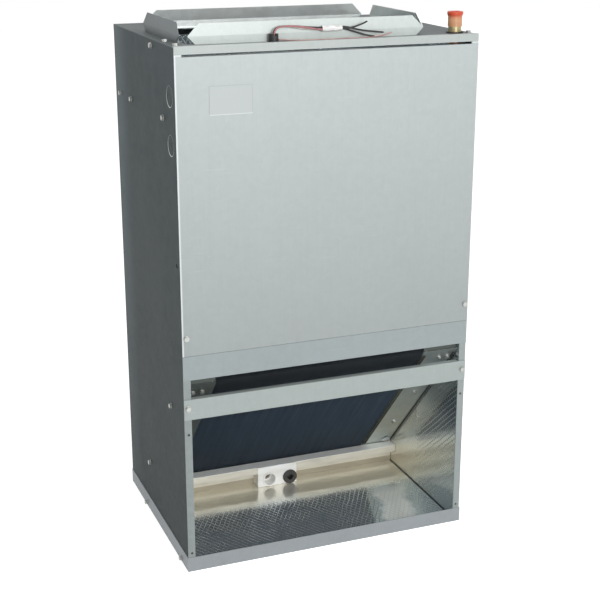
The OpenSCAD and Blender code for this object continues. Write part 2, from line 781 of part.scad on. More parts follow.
module suction_cap() {
    bore = suction_d + 0.6;
    outer = bore + 2 * cap_wall;
    color([0.8, 0.2, 0.08]) translate([suction_x, fy(suction_back), stub_top + seat_gap]) {
        difference() {
            translate([0, 0, -cap_skirt]) cylinder(d = outer, h = cap_skirt + 1.4);
            translate([0, 0, -cap_skirt - 1]) cylinder(d = bore, h = cap_skirt + 1);
        }
        rotate_extrude($fn = 48) polygon([[0, 0], [bore / 2, 0], [bore / 2, -3], [outer / 2, -3],
            [cap_rim_d / 2, 0.5], [cap_rim_d / 2, cap_rim_t - 1],
            [cap_rim_d / 2 - 0.8, cap_rim_t], [suction_d / 2 - 2, cap_rim_t], [suction_d / 2 - 3, 1], [0, 1]]);
    }
}

// A tube with ball elbows through [y, z] points given in the coil's frame
module slope_tube(x, pts, d) {
    for (i = [0 : len(pts) - 2]) let (a = pts[i], b = pts[i + 1], run = norm(b - a))
        translate([x, a[0], a[1]]) rotate([-atan2(b[0] - a[0], b[1] - a[1]), 0, 0])
            cylinder(d = d, h = run, $fn = 24);
    for (i = [1 : len(pts) - 2]) translate([x, pts[i][0], pts[i][1]]) sphere(d = d + elbow_more, $fn = 24);
}

module liquid_line() {
    up = [-sin(coil_angle), cos(coil_angle)];
    foot = [manifold_end, liquid_lift];
    color(copper) on_slope() difference() {
        union() {
            slope_tube(suction_x,
                [[tube_y(0) - 12, row_z[0]], [manifold_end, row_z[0]], foot, foot + liquid_up * up],
                liquid_d);
            for (i = [0, circuit]) translate([0, tube_y(i), row_z[0]])
                bar_x([tube_right, suction_x], 6, 16);
        }
        translate([suction_x, foot[0] + liquid_up * up[0], foot[1] + liquid_up * up[1]])
            rotate([coil_angle, 0, 0]) translate([0, 0, -20]) cylinder(d = liquid_d - 1.8, h = 30);
    }
}

module metering_piston() {
    up = [-sin(coil_angle), cos(coil_angle)];
    at = [manifold_end, liquid_lift] + 0.3 * liquid_up * up;
    color([0.78, 0.62, 0.25]) on_slope() translate([suction_x, at[0], at[1]]) rotate([coil_angle, 0, 0])
        difference() {
            union() {
                cylinder(d = piston_d / cos(30), h = piston_h * 0.55, $fn = 6);
                cylinder(d = piston_d * 0.8, h = piston_h);
            }
            translate([0, 0, -1]) cylinder(d = liquid_d + 0.2, h = piston_h + 2);
        }
}

module blower_deck() {
    color(galv) difference() {
        union() {
            slab([-inner_x, inner_x], [fy(sheet + deck_in), fy(back_in)], [deck_z, deck_top]);
            for (side = [0, 1]) mirror([side, 0, 0])
                slab([-inner_x, -inner_x + sheet], [fy(sheet + deck_in), fy(lined_back)],
                    [deck_z, deck_z + deck_lip]);
        }
        slab([blower_x - house_half, blower_x + house_half], [fy(scroll_front), axis_y + cut_y],
            [deck_z - 1, deck_top + 1]);
        translate([suction_x, fy(suction_back), deck_top]) drill(3 * sheet, suction_d + 3);
        for (side = [0, 1]) mirror([side, 0, 0]) on_left_side(deck_screws) drill(4 * sheet, screw_hole);
    }
}

// The scroll's outline as [y, z] about the axis, from the cut-off round to the front, drawn in by a distance
function scroll_points(inset) = [for (k = [0 : 30]) let (a = cut_angle - turn * k / 30,
    r = scroll_min + scroll_grow * k / 30 - inset) [r * cos(a), r * sin(a)]];

module blower_frame() {
    translate([blower_x, axis_y, axis_z]) rotate([90, 0, 90]) children();
}

module blower_scroll() {
    t = blower_t;
    rise = axis_drop;
    front = -scroll_max;
    color(galv) blower_frame() translate([0, 0, -house_half]) {
        linear_extrude(2 * house_half) polygon(concat(scroll_points(0), [[front, rise], [front + t, rise]],
            [for (k = [30 : -1 : 0]) scroll_points(t)[k]]));
        linear_extrude(2 * house_half) polygon([[cut_y - t, cut_z - 3], [cut_y, cut_z - 3], [cut_y, rise],
            [cut_y - t, rise]]);
        linear_extrude(2 * house_half) {
            polygon([[front - outlet_flange, rise - t], [front + t, rise - t], [front + t, rise],
                [front - outlet_flange, rise]]);
            polygon([[cut_y - t, rise - t], [cut_y + outlet_flange, rise - t], [cut_y + outlet_flange, rise],
                [cut_y - t, rise]]);
        }
    }
}

module blower_sides() {
    rise = axis_drop;
    color(galv) blower_frame() for (side = [0, 1]) mirror([0, 0, side]) {
        translate([0, 0, house_half]) linear_extrude(blower_t) difference() {
            polygon(concat(scroll_points(-seam_out), [[-scroll_max - seam_out, rise],
                [cut_y + seam_out, rise]]));
            circle(r = inlet_r, $fn = 72);
        }
        translate([0, 0, house_half - 8]) difference() {
            cylinder(r = inlet_r + blower_t, h = 8 + blower_t, $fn = 72);
            translate([0, 0, -1]) cylinder(r = inlet_r, h = 12, $fn = 72);
        }
    }
}

module blower_wheel() {
    color(galv) blower_frame() {
        difference() {
            translate([0, 0, -disc_t / 2]) cylinder(r = blade_out, h = disc_t, $fn = 72);
            translate([0, 0, -disc_t]) cylinder(d = hub_d - 8, h = 2 * disc_t);
        }
        for (z = [-wheel_w / 2, wheel_w / 2 - ring_w]) translate([0, 0, z]) difference() {
            cylinder(d = wheel_d, h = ring_w, $fn = 72);
            translate([0, 0, -1]) cylinder(r = blade_out - 4, h = ring_w + 2, $fn = 72);
        }
    }
}

// Two rows of curved blades, each held between an end ring and the middle disc
module wheel_blades() {
    color(galv) blower_frame() for (side = [0, 1]) mirror([0, 0, side])
        translate([0, 0, disc_t / 2]) linear_extrude((wheel_w - disc_t) / 2 - ring_w)
            for (k = [1 : blade_count]) rotate(k * 360 / blade_count)
                polygon([[blade_in, 0], [blade_in + 9, 2.6], [blade_out - 0.5, 8],
                    [blade_out - 1, 9], [blade_in + 8.6, 3.6], [blade_in - 0.2, 1]]);
}

module wheel_hub() {
    color("silver") blower_frame() difference() {
        union() {
            translate([0, 0, -disc_t / 2]) cylinder(d = hub_d - 8, h = disc_t);
            translate([0, 0, disc_t / 2]) cylinder(d = hub_d, h = 3);
            translate([0, 0, -hub_len]) cylinder(d = hub_d - 6, h = hub_len - disc_t / 2);
        }
        translate([0, 0, -hub_len - 1]) cylinder(d = shaft_d + 0.1, h = hub_len + 9);
        translate([0, 0, -hub_len + 9]) rotate([90, 0, 0]) cylinder(d = 5, h = hub_d);
    }
}

module motor_shaft() {
    color("gray") blower_frame() translate([0, 0, -hub_len - 4])
        cylinder(d = shaft_d, h = hub_len + 4 + motor_end);
}

module motor_shell() {
    end_r = motor_d / 2;
    color([0.18, 0.18, 0.2]) blower_frame() difference() {
        rotate_extrude($fn = 72) polygon([[0, motor_start - 6], [18, motor_start - 6], [20, motor_start],
            [end_r - 6, motor_start + 2], [end_r, motor_start + 10], [end_r, motor_end - 10],
            [end_r - 6, motor_end - 2], [0, motor_end]]);
        translate([0, 0, motor_start - 10]) cylinder(d = shaft_d + 2 * shaft_gap, h = motor_len + 10.5);
        for (k = [0 : 11]) rotate(k * 30) translate([end_r * 0.62, 0, motor_end - 6])
            linear_extrude(8) square([14, 5], center = true);
    }
}

module motor_mount() {
    mid = arm_x + arm_t * 2;
    color(galv) blower_frame() {
        translate([0, 0, mid - band_w / 2 + arm_t]) difference() {
            cylinder(r = motor_d / 2 + band_t, h = band_w, $fn = 72);
            translate([0, 0, -1]) cylinder(r = motor_d / 2 + 0.1, h = band_w + 2, $fn = 72);
        }
        for (a = arm_angles) rotate(a) {
            translate([motor_d / 2 + 1, -arm_w / 2, mid]) cube([arm_r - motor_d / 2 + 6, arm_w, arm_t]);
            translate([arm_r - 7, -arm_w / 2, arm_x]) cube([14, arm_w, mid - arm_x + arm_t]);
        }
    }
}

module mount_grommets() {
    color([0.1, 0.1, 0.1]) blower_frame() for (a = arm_angles) rotate(a)
        translate([arm_r, 0, house_half + blower_t]) cylinder(r = grommet_r, h = grommet_t);
}

module at_capacitor() {
    x = blower_x - house_half - blower_t - strap_t - capacitor_d / 2;
    translate([x, axis_y - capacitor_h / 2, axis_z - capacitor_drop]) rotate([-90, 0, 0]) children();
}

module run_capacitor() {
    color([0.75, 0.76, 0.78]) at_capacitor() {
        cylinder(d = capacitor_d, h = capacitor_h);
        cylinder(d = capacitor_d - 4, h = capacitor_h + 2);
        for (x = [-8, 8]) translate([x - 3, -0.5, capacitor_h]) cube([6, 1, 11]);
    }
}

module capacitor_strap() {
    r = capacitor_d / 2;
    color(galv) at_capacitor() translate([0, 0, capacitor_h / 2]) {
        difference() {
            cylinder(r = r + strap_t, h = strap_w);
            translate([0, 0, -1]) cylinder(r = r + 0.1, h = strap_w + 2);
        }
        slab([r, r + strap_t], [-r - 6, r + 6], [0, strap_w]);
    }
}

module at_elements() {
    for (x = element_x) translate([blower_x + x, fy(heater_front), deck_top + element_z]) children();
}

module heater_plate() {
    color(galv) difference() {
        union() {
            slab([blower_x - heater_half, blower_x + heater_half],
                [fy(heater_front), fy(heater_front + sheet)], [deck_top, deck_top + heater_h]);
            slab([blower_x - heater_half, blower_x + heater_half], [fy(heater_front - 14), fy(heater_front)],
                [deck_top, deck_top + sheet]);
        }
        at_elements() for (side = [-1, 1]) translate([side * element_leg / 2, 0, 0]) facing_front()
            drill(3 * sheet, element_d + 0.3);
    }
}

module heater_elements() {
    half = element_leg / 2;
    color([0.35, 0.33, 0.3]) at_elements() {
        for (side = [-1, 1]) translate([side * half, -element_tail, 0]) rotate([-90, 0, 0]) {
            cylinder(d = element_d, h = element_tail + element_len, $fn = 24);
            translate([0, 0, -9]) cylinder(d = 4, h = 10, $fn = 16);
        }
        translate([0, element_len - eps, 0]) rotate_extrude(angle = 180, $fn = 48) translate([half, 0])
            circle(d = element_d, $fn = 24);
    }
}

module limit_switch() {
    color([0.2, 0.15, 0.12]) translate([blower_x + 34, fy(heater_front), deck_top + 86]) facing_front() {
        cylinder(d = limit_d, h = limit_t);
        for (x = [-5, 5]) translate([x - 2.5, -0.5, limit_t - 1]) cube([5, 1, 9]);
    }
}

module control_box() {
    x = [box_x, box_x + box_w];
    y = [fy(box_front), fy(box_front + box_d)];
    z = [deck_z - box_h, deck_z];
    color(galv) difference() {
        slab(x, y, z);
        slab([x[0] + sheet, x[1] - sheet], [y[0] - 1, y[1] - sheet], [z[0] + sheet, z[1] - sheet]);
        for (k = [0 : 2]) translate([x[0] + wire_hole_in + wire_hole_step * k, y[0] + wire_hole_back, z[0]])
            drill(3 * sheet, wire_hole_d);
    }
}

module control_board() {
    x = box_x + board_in;
    z = deck_z - box_h + 10;
    back = fy(box_front + box_d - sheet);
    face = back - standoff;
    color([0.1, 0.4, 0.2]) {
        slab([x, x + board_w], [face - board_t, face], [z, z + board_h]);
        for (dx = [8, board_w - 8], dz = [8, board_h - 8])
            translate([x + dx, back, z + dz]) facing_front() cylinder(d = 5, h = standoff + eps, $fn = 16);
        for (k = [0, 1])
            slab([x + 10 + 30 * k, x + 34 + 30 * k], [face - 16, face - board_t + eps], [z + 50, z + 72]);
        slab([x + 6, x + 70], [face - 11, face - board_t + eps], [z + 8, z + 18]);
    }
}

module transformer() {
    x = box_x + 12;
    z = deck_z - 76;
    back = fy(box_front + box_d - sheet);
    color([0.3, 0.3, 0.32]) {
        slab([x, x + 52], [back - 38, back], [z, z + 44]);
        slab([x + 10, x + 42], [back - 42, back - 37], [z + 7, z + 37]);
        slab([x - 6, x + 58], [back - 1.5, back], [z + 12, z + 32]);
    }
}

module blower_relay() {
    x = box_x + 92;
    z = deck_z - 70;
    back = fy(box_front + box_d - sheet);
    color([0.15, 0.15, 0.18]) {
        slab([x, x + 34], [back - 30, back], [z, z + 34]);
        for (k = [0 : 3]) slab([x + 4 + 8 * k, x + 9 + 8 * k], [back - 38, back - 29], [z + 16, z + 17]);
    }
}

module service_panel() {
    y0 = fy(-sheet - seat_gap);
    color(galv) difference() {
        union() {
            slab([-hx, hx], [y0, y0 + sheet], [panel_z, panel_top]);
            for (side = [0, 1]) mirror([side, 0, 0])
                slab([-hx, -hx + slot_ear], [y0, y0 + sheet], [panel_top - 1, panel_top + slot_h - seat_gap]);
            slab([-open_x, open_x], [y0, fy(rail_lip)], [panel_z, panel_z + sheet]);
            slab([-open_x, open_x], [y0, fy(rail_lip)], [panel_top - sheet, panel_top]);
        }
        for (side = [-1, 1]) translate([side * (hx - front_screw_in), fy(0), panel_screw_z])
            facing_front() drill(3 * sheet, screw_hole);
    }
}

module panel_lining() {
    color(foil) slab([-open_x, open_x], [fy(-seat_gap), fy(liner_t)], [panel_z + sheet, panel_top - sheet]);
}

module bare_plate() {
    x = -hx + 56;
    z = cab_h - 111;
    y0 = fy(-sheet - seat_gap);
    color([0.85, 0.86, 0.84]) slab([x, x + plate_w], [y0 - 0.4, y0], [z, z + plate_h]);
}

module panel_screws() {
    color("silver") for (side = [-1, 1])
        translate([side * (hx - front_screw_in), fy(-sheet - seat_gap), panel_screw_z])
            facing_front() hex_screw(short_shank);
}

module cable_bushing() {
    color([0.08, 0.08, 0.08]) translate([bush_x, fy(bush_back), 0]) difference() {
        union() {
            translate([0, 0, top_z]) cylinder(d = bush_d, h = bush_top - top_z);
            translate([0, 0, top_z - 10]) cylinder(d = bush_neck, h = 11);
        }
        slab([-bush_slot_w / 2, bush_slot_w / 2], [-bush_d, bush_d], [bush_slot_z, bush_top + 1]);
    }
}

// A closed tube of straight facets along the points of a route
module swept_tube(route, d, sides) {
    n = len(route);
    along = [for (i = [0 : n - 1]) let (v = route[min(i + 1, n - 1)] - route[max(i - 1, 0)]) v / norm(v)];
    side = [for (t = along) let (s = cross(t, [0, 1, 0])) s / norm(s)];
    up = [for (i = [0 : n - 1]) cross(side[i], along[i])];
    rings = [for (i = [0 : n - 1], k = [0 : sides - 1]) let (a = 360 * k / sides)
        route[i] + d / 2 * (cos(a) * side[i] + sin(a) * up[i])];
    walls = [for (i = [0 : n - 2], k = [0 : sides - 1]) let (m = (k + 1) % sides)
        [i * sides + k, i * sides + m, (i + 1) * sides + m, (i + 1) * sides + k]];
    start = [for (k = [sides - 1 : -1 : 0]) k];
    finish = [for (k = [0 : sides - 1]) (n - 1) * sides + k];
    polyhedron(rings, concat(walls, [start, finish]), convexity = 6);
}

module power_leads() {
    color([0.1, 0.1, 0.1]) swept_tube(black_route, lead_d, lead_sides);
    color([0.75, 0.15, 0.15]) swept_tube(red_route, lead_d, lead_sides);
    color([0.9, 0.88, 0.86]) swept_tube(white_route, lead_d, lead_sides);
}

module control_leads() {
    color([0.85, 0.5, 0.5]) swept_tube(pink_thin_route, thin_d, lead_sides);
    color([0.9, 0.9, 0.88]) swept_tube(white_thin_route, thin_d, lead_sides);
}

module lead_sleeve() {
    color([0.94, 0.94, 0.94]) translate([0, fy(sleeve_back), sleeve_z]) difference() {
        bar_x(sleeve_x, sleeve_d);
        bar_x([sleeve_x[0] - 1, sleeve_x[1] + 1], sleeve_bore);
    }
}

base_tray();
left_side_panel();
right_side_panel();
back_panel();
top_panel();
top_trim();
front_duct_flange();
back_duct_flange();
left_duct_flange();
right_duct_flange();
upper_rail();
casing_screws();
floor_lining();
left_lining();
right_lining();
back_lining();
drain_pan();
pan_sill();
drain_block();
drain_plug();
coil_fin_pack();
coil_hairpins();
return_bends();
coil_end_plates();
left_coil_channel();
right_coil_channel();
suction_line();
suction_grommet();
suction_cap();
liquid_line();
metering_piston();
blower_deck();
blower_scroll();
blower_sides();
blower_wheel();
wheel_blades();
wheel_hub();
motor_shaft();
motor_shell();
motor_mount();
mount_grommets();
run_capacitor();
capacitor_strap();
heater_plate();
heater_elements();
limit_switch();
control_box();
control_board();
transformer();
blower_relay();
service_panel();
panel_lining();
bare_plate();
panel_screws();
filter_rail();
filter_rail_screws();
cable_bushing();
power_leads();
control_leads();
lead_sleeve();
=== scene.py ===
"""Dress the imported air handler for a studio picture.

The frame holds every solid at its real place. This script gives each of them a procedural finish, replaces the
fin pack, the linings, the heater coils and the leads with finer pieces, and sets up the floor, the lamps and the
camera. All lengths are in metres, in the frame's own axes: +Z up, the front faces -Y.
"""
from __future__ import annotations

import logging
import math
from collections.abc import Sequence
from dataclasses import dataclass, field
from enum import Enum

import bmesh
import bpy
import numpy as np
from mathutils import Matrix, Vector

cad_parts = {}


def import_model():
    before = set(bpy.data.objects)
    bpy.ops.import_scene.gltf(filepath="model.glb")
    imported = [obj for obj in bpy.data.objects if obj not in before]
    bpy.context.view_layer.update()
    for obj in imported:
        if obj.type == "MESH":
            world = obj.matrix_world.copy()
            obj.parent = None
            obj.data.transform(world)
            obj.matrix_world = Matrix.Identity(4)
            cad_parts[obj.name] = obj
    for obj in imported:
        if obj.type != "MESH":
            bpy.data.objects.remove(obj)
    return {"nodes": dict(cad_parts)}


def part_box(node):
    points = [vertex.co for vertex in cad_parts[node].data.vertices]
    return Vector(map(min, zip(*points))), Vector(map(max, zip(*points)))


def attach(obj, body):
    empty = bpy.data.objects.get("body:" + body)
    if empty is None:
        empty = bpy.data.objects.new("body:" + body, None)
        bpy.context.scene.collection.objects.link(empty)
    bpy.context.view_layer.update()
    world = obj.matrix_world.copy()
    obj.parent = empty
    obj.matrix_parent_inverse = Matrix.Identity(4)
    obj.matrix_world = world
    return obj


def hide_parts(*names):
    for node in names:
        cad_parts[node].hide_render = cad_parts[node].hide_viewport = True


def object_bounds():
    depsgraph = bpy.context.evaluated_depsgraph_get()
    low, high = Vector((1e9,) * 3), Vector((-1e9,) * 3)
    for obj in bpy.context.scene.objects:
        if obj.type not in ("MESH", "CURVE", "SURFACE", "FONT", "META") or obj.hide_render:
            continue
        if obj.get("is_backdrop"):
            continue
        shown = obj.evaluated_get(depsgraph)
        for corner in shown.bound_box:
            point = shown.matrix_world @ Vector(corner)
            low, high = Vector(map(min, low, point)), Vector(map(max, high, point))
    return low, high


LOG = logging.getLogger("air_handler")
Colour = tuple[float, float, float]
Point = tuple[float, float, float]
Pair = tuple[float, float]
Mesh = tuple[np.ndarray, np.ndarray, np.ndarray | None]
Node = bpy.types.Node
Socket = bpy.types.NodeSocket
Sockets = dict[str, Socket]
Value = float | Socket
Tint = Colour | Socket

# Height of the casing's top sheet, left and right edge and lower and upper edge of the bare plate
CASING_TOP = 0.92
PLATE_X = (-0.2130, -0.1400)
PLATE_Z = (0.8090, 0.8560)
# Name of the UV map that carries lengths in metres along a piece's surface
SHEET_MAP = "sheet"
# Millimetres in a metre, and points round a turned or carried section
PER_METRE = 1000.0
SECTION_POINTS = 32


# ---------------------------------------------------------------- node graphs


class Graph:
    """A short-hand for one node tree, with a few nodes that every finish needs."""

    def __init__(self, tree: bpy.types.NodeTree) -> None:
        """Keep the node tree that the nodes go into."""
        self.tree = tree

    @classmethod
    def cleared(cls, owner: bpy.types.Material | bpy.types.World) -> Graph:
        """Return the graph of a new material or world, without its default nodes.

        Args:
            owner: The material or world.

        Returns:
            Its empty graph.
        """
        owner.use_nodes = True
        owner.node_tree.nodes.clear()
        return cls(owner.node_tree)

    def give(self, made: Node, key: str | int, value: object) -> None:
        """Link a socket to a node's input, or set the input to a plain value.

        Args:
            made: The node.
            key: The input's name or number.
            value: A socket or a plain value.
        """
        if isinstance(value, Socket):
            self.tree.links.new(value, made.inputs[key])
        else:
            made.inputs[key].default_value = value

    def node(self, kind: str, inputs: dict | None = None, **settings: object) -> Node:
        """Add one node.

        Args:
            kind: The node's type, without the ShaderNode prefix.
            inputs: Socket names or numbers, each with a plain value or an output socket to link.
            **settings: Properties of the node.

        Returns:
            The new node.
        """
        made = self.tree.nodes.new("ShaderNode" + kind)
        for name, value in settings.items():
            setattr(made, name, value)
        for key, value in (inputs or {}).items():
            self.give(made, key, value)
        return made

    def math(self, operation: str, first: Value, second: Value = 0.0, clamp: bool = False) -> Socket:
        """Return the output of a Math node with the two inputs.

        Args:
            operation: The Math node's operation.
            first: A number or a socket.
            second: A number or a socket.
            clamp: Whether the result is held between 0 and 1.

        Returns:
            The Math node's output socket.
        """
        return self.node("Math", {0: first, 1: second}, operation=operation, use_clamp=clamp).outputs[0]

    def times(self, first: Value, second: Value, clamp: bool = False) -> Socket:
        """Return the product of two numbers or sockets."""
        return self.math("MULTIPLY", first, second, clamp)

    def plus(self, first: Value, second: Value, clamp: bool = False) -> Socket:
        """Return the sum of two numbers or sockets."""
        return self.math("ADD", first, second, clamp)

    def minus(self, first: Value, second: Value) -> Socket:
        """Return the first number or socket less the second."""
        return self.math("SUBTRACT", first, second)

    def mix(self, share: Value, first: Tint, second: Tint, blend: str = "MIX") -> Socket:
        """Return a colour mixed from two.

        Args:
            share: How much of the second colour, a number or a socket.
            first: A colour or a socket.
            second: A colour or a socket.
            blend: The Mix node's blend type.

        Returns:
            The mixed colour's socket.
        """
        made = self.node("Mix", data_type="RGBA", blend_type=blend)
        for slot, value in ((0, share), (6, first), (7, second)):
            self.give(made, slot, (*value, 1.0) if isinstance(value, tuple) else value)
        return made.outputs[2]

    def span(self, value: Socket, low: float, high: float, to_low: float = 0.0, to_high: float = 1.0,
             smooth: bool = False) -> Socket:
        """Return a value carried from one range to another and held inside it.

        Args:
            value: The socket to carry over.
            low: Where the incoming range starts.
            high: Where it ends.
            to_low: The result at the start.
            to_high: The result at the end.
            smooth: Whether the ramp eases in and out.

        Returns:
            The Map Range node's output socket.
        """
        kind = "SMOOTHSTEP" if smooth else "LINEAR"
        return self.node("MapRange", {0: value, 1: low, 2: high, 3: to_low, 4: to_high}, clamp=True,
                         interpolation_type=kind).outputs[0]

    def spread(self, cloudy: Socket, to_low: float = 0.0, to_high: float = 1.0) -> Socket:
        """Return a cloudy value's middle range, 0.3 to 0.7, carried to another range."""
        return self.span(cloudy, 0.3, 0.7, to_low, to_high)

    def past(self, value: Socket, limit: float, soft: float = 0.0002) -> Socket:
        """Return 0 under a limit and 1 above it, eased over twice a softness."""
        return self.span(value, limit - soft, limit + soft)

    def noise(self, place: Socket, scale: Value | Point, detail: float = 2.0, rough: float = 0.5,
              turn: Point = (0.0, 0.0, 0.0)) -> Socket:
        """Return a cloudy value between 0 and 1.

        Args:
            place: The coordinates' socket.
            scale: How many clouds fit in a metre, as a whole or along each axis.
            detail: How many finer layers are added.
            rough: How strong the finer layers are.
            turn: The turn about each axis, in degrees, where the scale is by axis.

        Returns:
            The Noise Texture's value socket.
        """
        if isinstance(scale, tuple):
            place, scale = self.stretched(place, scale, turn), 1.0
        return self.node("TexNoise", {"Vector": place, "Scale": scale, "Detail": detail,
                                      "Roughness": rough}).outputs[0]

    def wobbled(self, place: Socket, scale: float, reach: Point) -> Socket:
        """Return coordinates pushed about by a slow noise.

        Args:
            place: The coordinates' socket.
            scale: How many clouds fit in a metre.
            reach: The furthest push along each axis, in metres.

        Returns:
            The new coordinates' socket.
        """
        noise = self.node("TexNoise", {"Vector": place, "Scale": scale, "Detail": 2.0})
        push = self.node("VectorMath", {0: noise.outputs[1], 1: reach}, operation="MULTIPLY")
        return self.node("VectorMath", {0: place, 1: push.outputs[0]}, operation="ADD").outputs[0]

    def stretched(self, place: Socket, scale: Point, turn: Point = (0.0, 0.0, 0.0)) -> Socket:
        """Return coordinates scaled by axis, after a turn in degrees.

        Args:
            place: The coordinates' socket.
            scale: The factor along each axis.
            turn: The turn about each axis, in degrees.

        Returns:
            The Mapping node's output socket.
        """
        angles = tuple(math.radians(a) for a in turn)
        return self.node("Mapping", {"Vector": place, "Rotation": angles, "Scale": scale}).outputs[0]

    def parts(self, place: Socket) -> tuple[Socket, ...]:
        """Return the X, Y and Z sockets of a vector socket."""
        return tuple(self.node("SeparateXYZ", {0: place}).outputs)

    def bump(self, height: Socket, strength: float, distance: float, under: Socket | None = None) -> Socket:
        """Return a normal that follows a height.

        Args:
            height: The height's socket.
            strength: The Bump node's strength.
            distance: The height in metres that a value of 1 stands for.
            under: A normal to start from, if any.

        Returns:
            The Bump node's normal socket.
        """
        inputs = {"Height": height, "Strength": strength, "Distance": distance}
        if under is not None:
            inputs["Normal"] = under
        return self.node("Bump", inputs).outputs[0]


class Effect(Enum):
    """The shared surface effects, each a node group that is built once."""

    SPANGLE = "zinc_spangle"
    ROLLING = "rolling_lines"
    GRIME = "handling_grime"
    SCRIM = "foil_scrim"
    GRAIN = "moulded_grain"
    TARNISH = "copper_tarnish"


class EffectShelf:
    """Builds the shared node groups on first use and places them in materials."""

    def __init__(self) -> None:
        """Start with no group built."""
        self.groups: dict[Effect, bpy.types.NodeTree] = {}

    def place(self, graph: Graph, effect: Effect, vector: Socket, **values: float) -> bpy.types.NodeOutputs:
        """Put one effect into a material.

        Args:
            graph: The material's graph.
            effect: Which effect.
            vector: The coordinates' socket, in metres.
            **values: Values of the group's inputs by name.

        Returns:
            The group node's outputs by name.
        """
        if effect not in self.groups:
            self.groups[effect] = self.build(effect)
        made = graph.node("Group", node_tree=self.groups[effect])
        for name, value in {"Vector": vector, **values}.items():
            graph.give(made, name, value)
        return made.outputs

    def build(self, effect: Effect) -> bpy.types.NodeTree:
        """Build the node group of one effect.

        Args:
            effect: Which effect.

        Returns:
            The node group, with a vector input, its own value inputs and its outputs.
        """
        recipe = {Effect.SPANGLE: self._spangle, Effect.ROLLING: self._rolling, Effect.GRIME: self._grime,
                  Effect.SCRIM: self._scrim, Effect.GRAIN: self._grain, Effect.TARNISH: self._tarnish}[effect]
        tree = bpy.data.node_groups.new(effect.value, "ShaderNodeTree")
        tree.interface.new_socket("Vector", in_out="INPUT", socket_type="NodeSocketVector")
        recipe(Graph(tree))
        return tree

    @staticmethod
    def _inputs(graph: Graph, **values: float) -> bpy.types.NodeOutputs:
        """Declare a group's value inputs.

        Args:
            graph: The group's graph.
            **values: The inputs' defaults by name.

        Returns:
            The sockets that carry every input, by name.
        """
        for name, value in values.items():
            made = graph.tree.interface.new_socket(name, in_out="INPUT", socket_type="NodeSocketFloat")
            made.default_value = value
        return graph.tree.nodes.new("NodeGroupInput").outputs

    @staticmethod
    def _outputs(graph: Graph, **sockets: Socket) -> None:
        """Declare a group's value outputs.

        Args:
            graph: The group's graph.
            **sockets: What each output puts out, by name.
        """
        for name in sockets:
            graph.tree.interface.new_socket(name, in_out="OUTPUT", socket_type="NodeSocketFloat")
        out = graph.tree.nodes.new("NodeGroupOutput")
        for name, socket in sockets.items():
            graph.give(out, name, socket)

    def _spangle(self, graph: Graph) -> None:
        """Zinc crystals: each cell of a Voronoi pattern has its own tone, its edges pushed about by a little noise.

        Args:
            graph: The group's graph.
        """
        came = self._inputs(graph, Size=0.009, Contrast=1.0)
        place = graph.wobbled(came["Vector"], 160.0, (0.004, 0.004, 0.004))
        scale = graph.math("DIVIDE", 1.0, came["Size"])
        cells = graph.node("TexVoronoi", {"Vector": place, "Scale": scale}, feature="F1")
        centred = graph.minus(graph.parts(cells.outputs["Color"])[0], 0.5)
        self._outputs(graph, Tone=graph.plus(graph.times(centred, came["Contrast"]), 0.5))

    def _rolling(self, graph: Graph) -> None:
        """Mill lines: noise stretched along Z, and a few thin scuffs that run askew.

        Args:
            graph: The group's graph.
        """
        came = self._inputs(graph, Fineness=1.0, Scuffs=0.5)
        place = graph.node("VectorMath", {0: came["Vector"], "Scale": came["Fineness"]}, operation="SCALE").outputs[0]
        lines = graph.noise(place, (900.0, 900.0, 8.0), 3.0, 0.6)
        askew = graph.noise(place, (14.0, 14.0, 420.0), turn=(0.0, 24.0, 0.0))
        other = graph.noise(place, (520.0, 520.0, 10.0), turn=(0.0, -38.0, 12.0))
        thin = graph.math("MAXIMUM", graph.span(askew, 0.70, 0.78), graph.span(other, 0.72, 0.8))
        self._outputs(graph, Lines=lines, Scuff=graph.times(thin, came["Scuffs"], clamp=True))

    def _grime(self, graph: Graph) -> None:
        """Handling marks: broad clouds, with finer smudges where the clouds are thick.

        Args:
            graph: The group's graph.
        """
        came = self._inputs(graph, Amount=0.5)
        broad = graph.span(graph.noise(came["Vector"], 5.0, 4.0, 0.6), 0.35, 0.75)
        fine = graph.span(graph.noise(came["Vector"], 38.0, 4.0, 0.7), 0.3, 0.75)
        self._outputs(graph, Mask=graph.times(graph.times(broad, fine), came["Amount"], clamp=True))

    def _scrim(self, graph: Graph) -> None:
        """Two leaning sets of yarn lines under a foil, on coordinates in metres along the sheet, with crumples.

        Args:
            graph: The group's graph.
        """
        came = self._inputs(graph, Pitch=0.0125, Yarn=0.12, Lean=30.0)
        lean = graph.math("RADIANS", came["Lean"])
        place = graph.wobbled(came["Vector"], 30.0, (0.0035, 0.0035, 0.0))
        across, along, _ = graph.parts(place)
        run = (graph.times(across, graph.math("COSINE", lean)), graph.times(along, graph.math("SINE", lean)))
        sets = []
        for slanted in (graph.plus(*run), graph.minus(*run)):
            saw = graph.math("PINGPONG", graph.math("DIVIDE", slanted, came["Pitch"]), 0.5)
            ridge = graph.node("MapRange", {0: saw, 1: 0.0, 2: came["Yarn"], 3: 1.0, 4: 0.0},
                               interpolation_type="SMOOTHSTEP")
            sets.append(ridge.outputs[0])
        crease = graph.node("TexVoronoi", {"Vector": place, "Scale": 26.0}, feature="DISTANCE_TO_EDGE")
        self._outputs(graph, Lines=graph.math("MAXIMUM", *sets),
                      Crumple=graph.span(crease.outputs[0], 0.0, 0.09, 1.0, 0.0, smooth=True),
                      Waves=graph.noise(came["Vector"], 17.0, 3.0, 0.55))

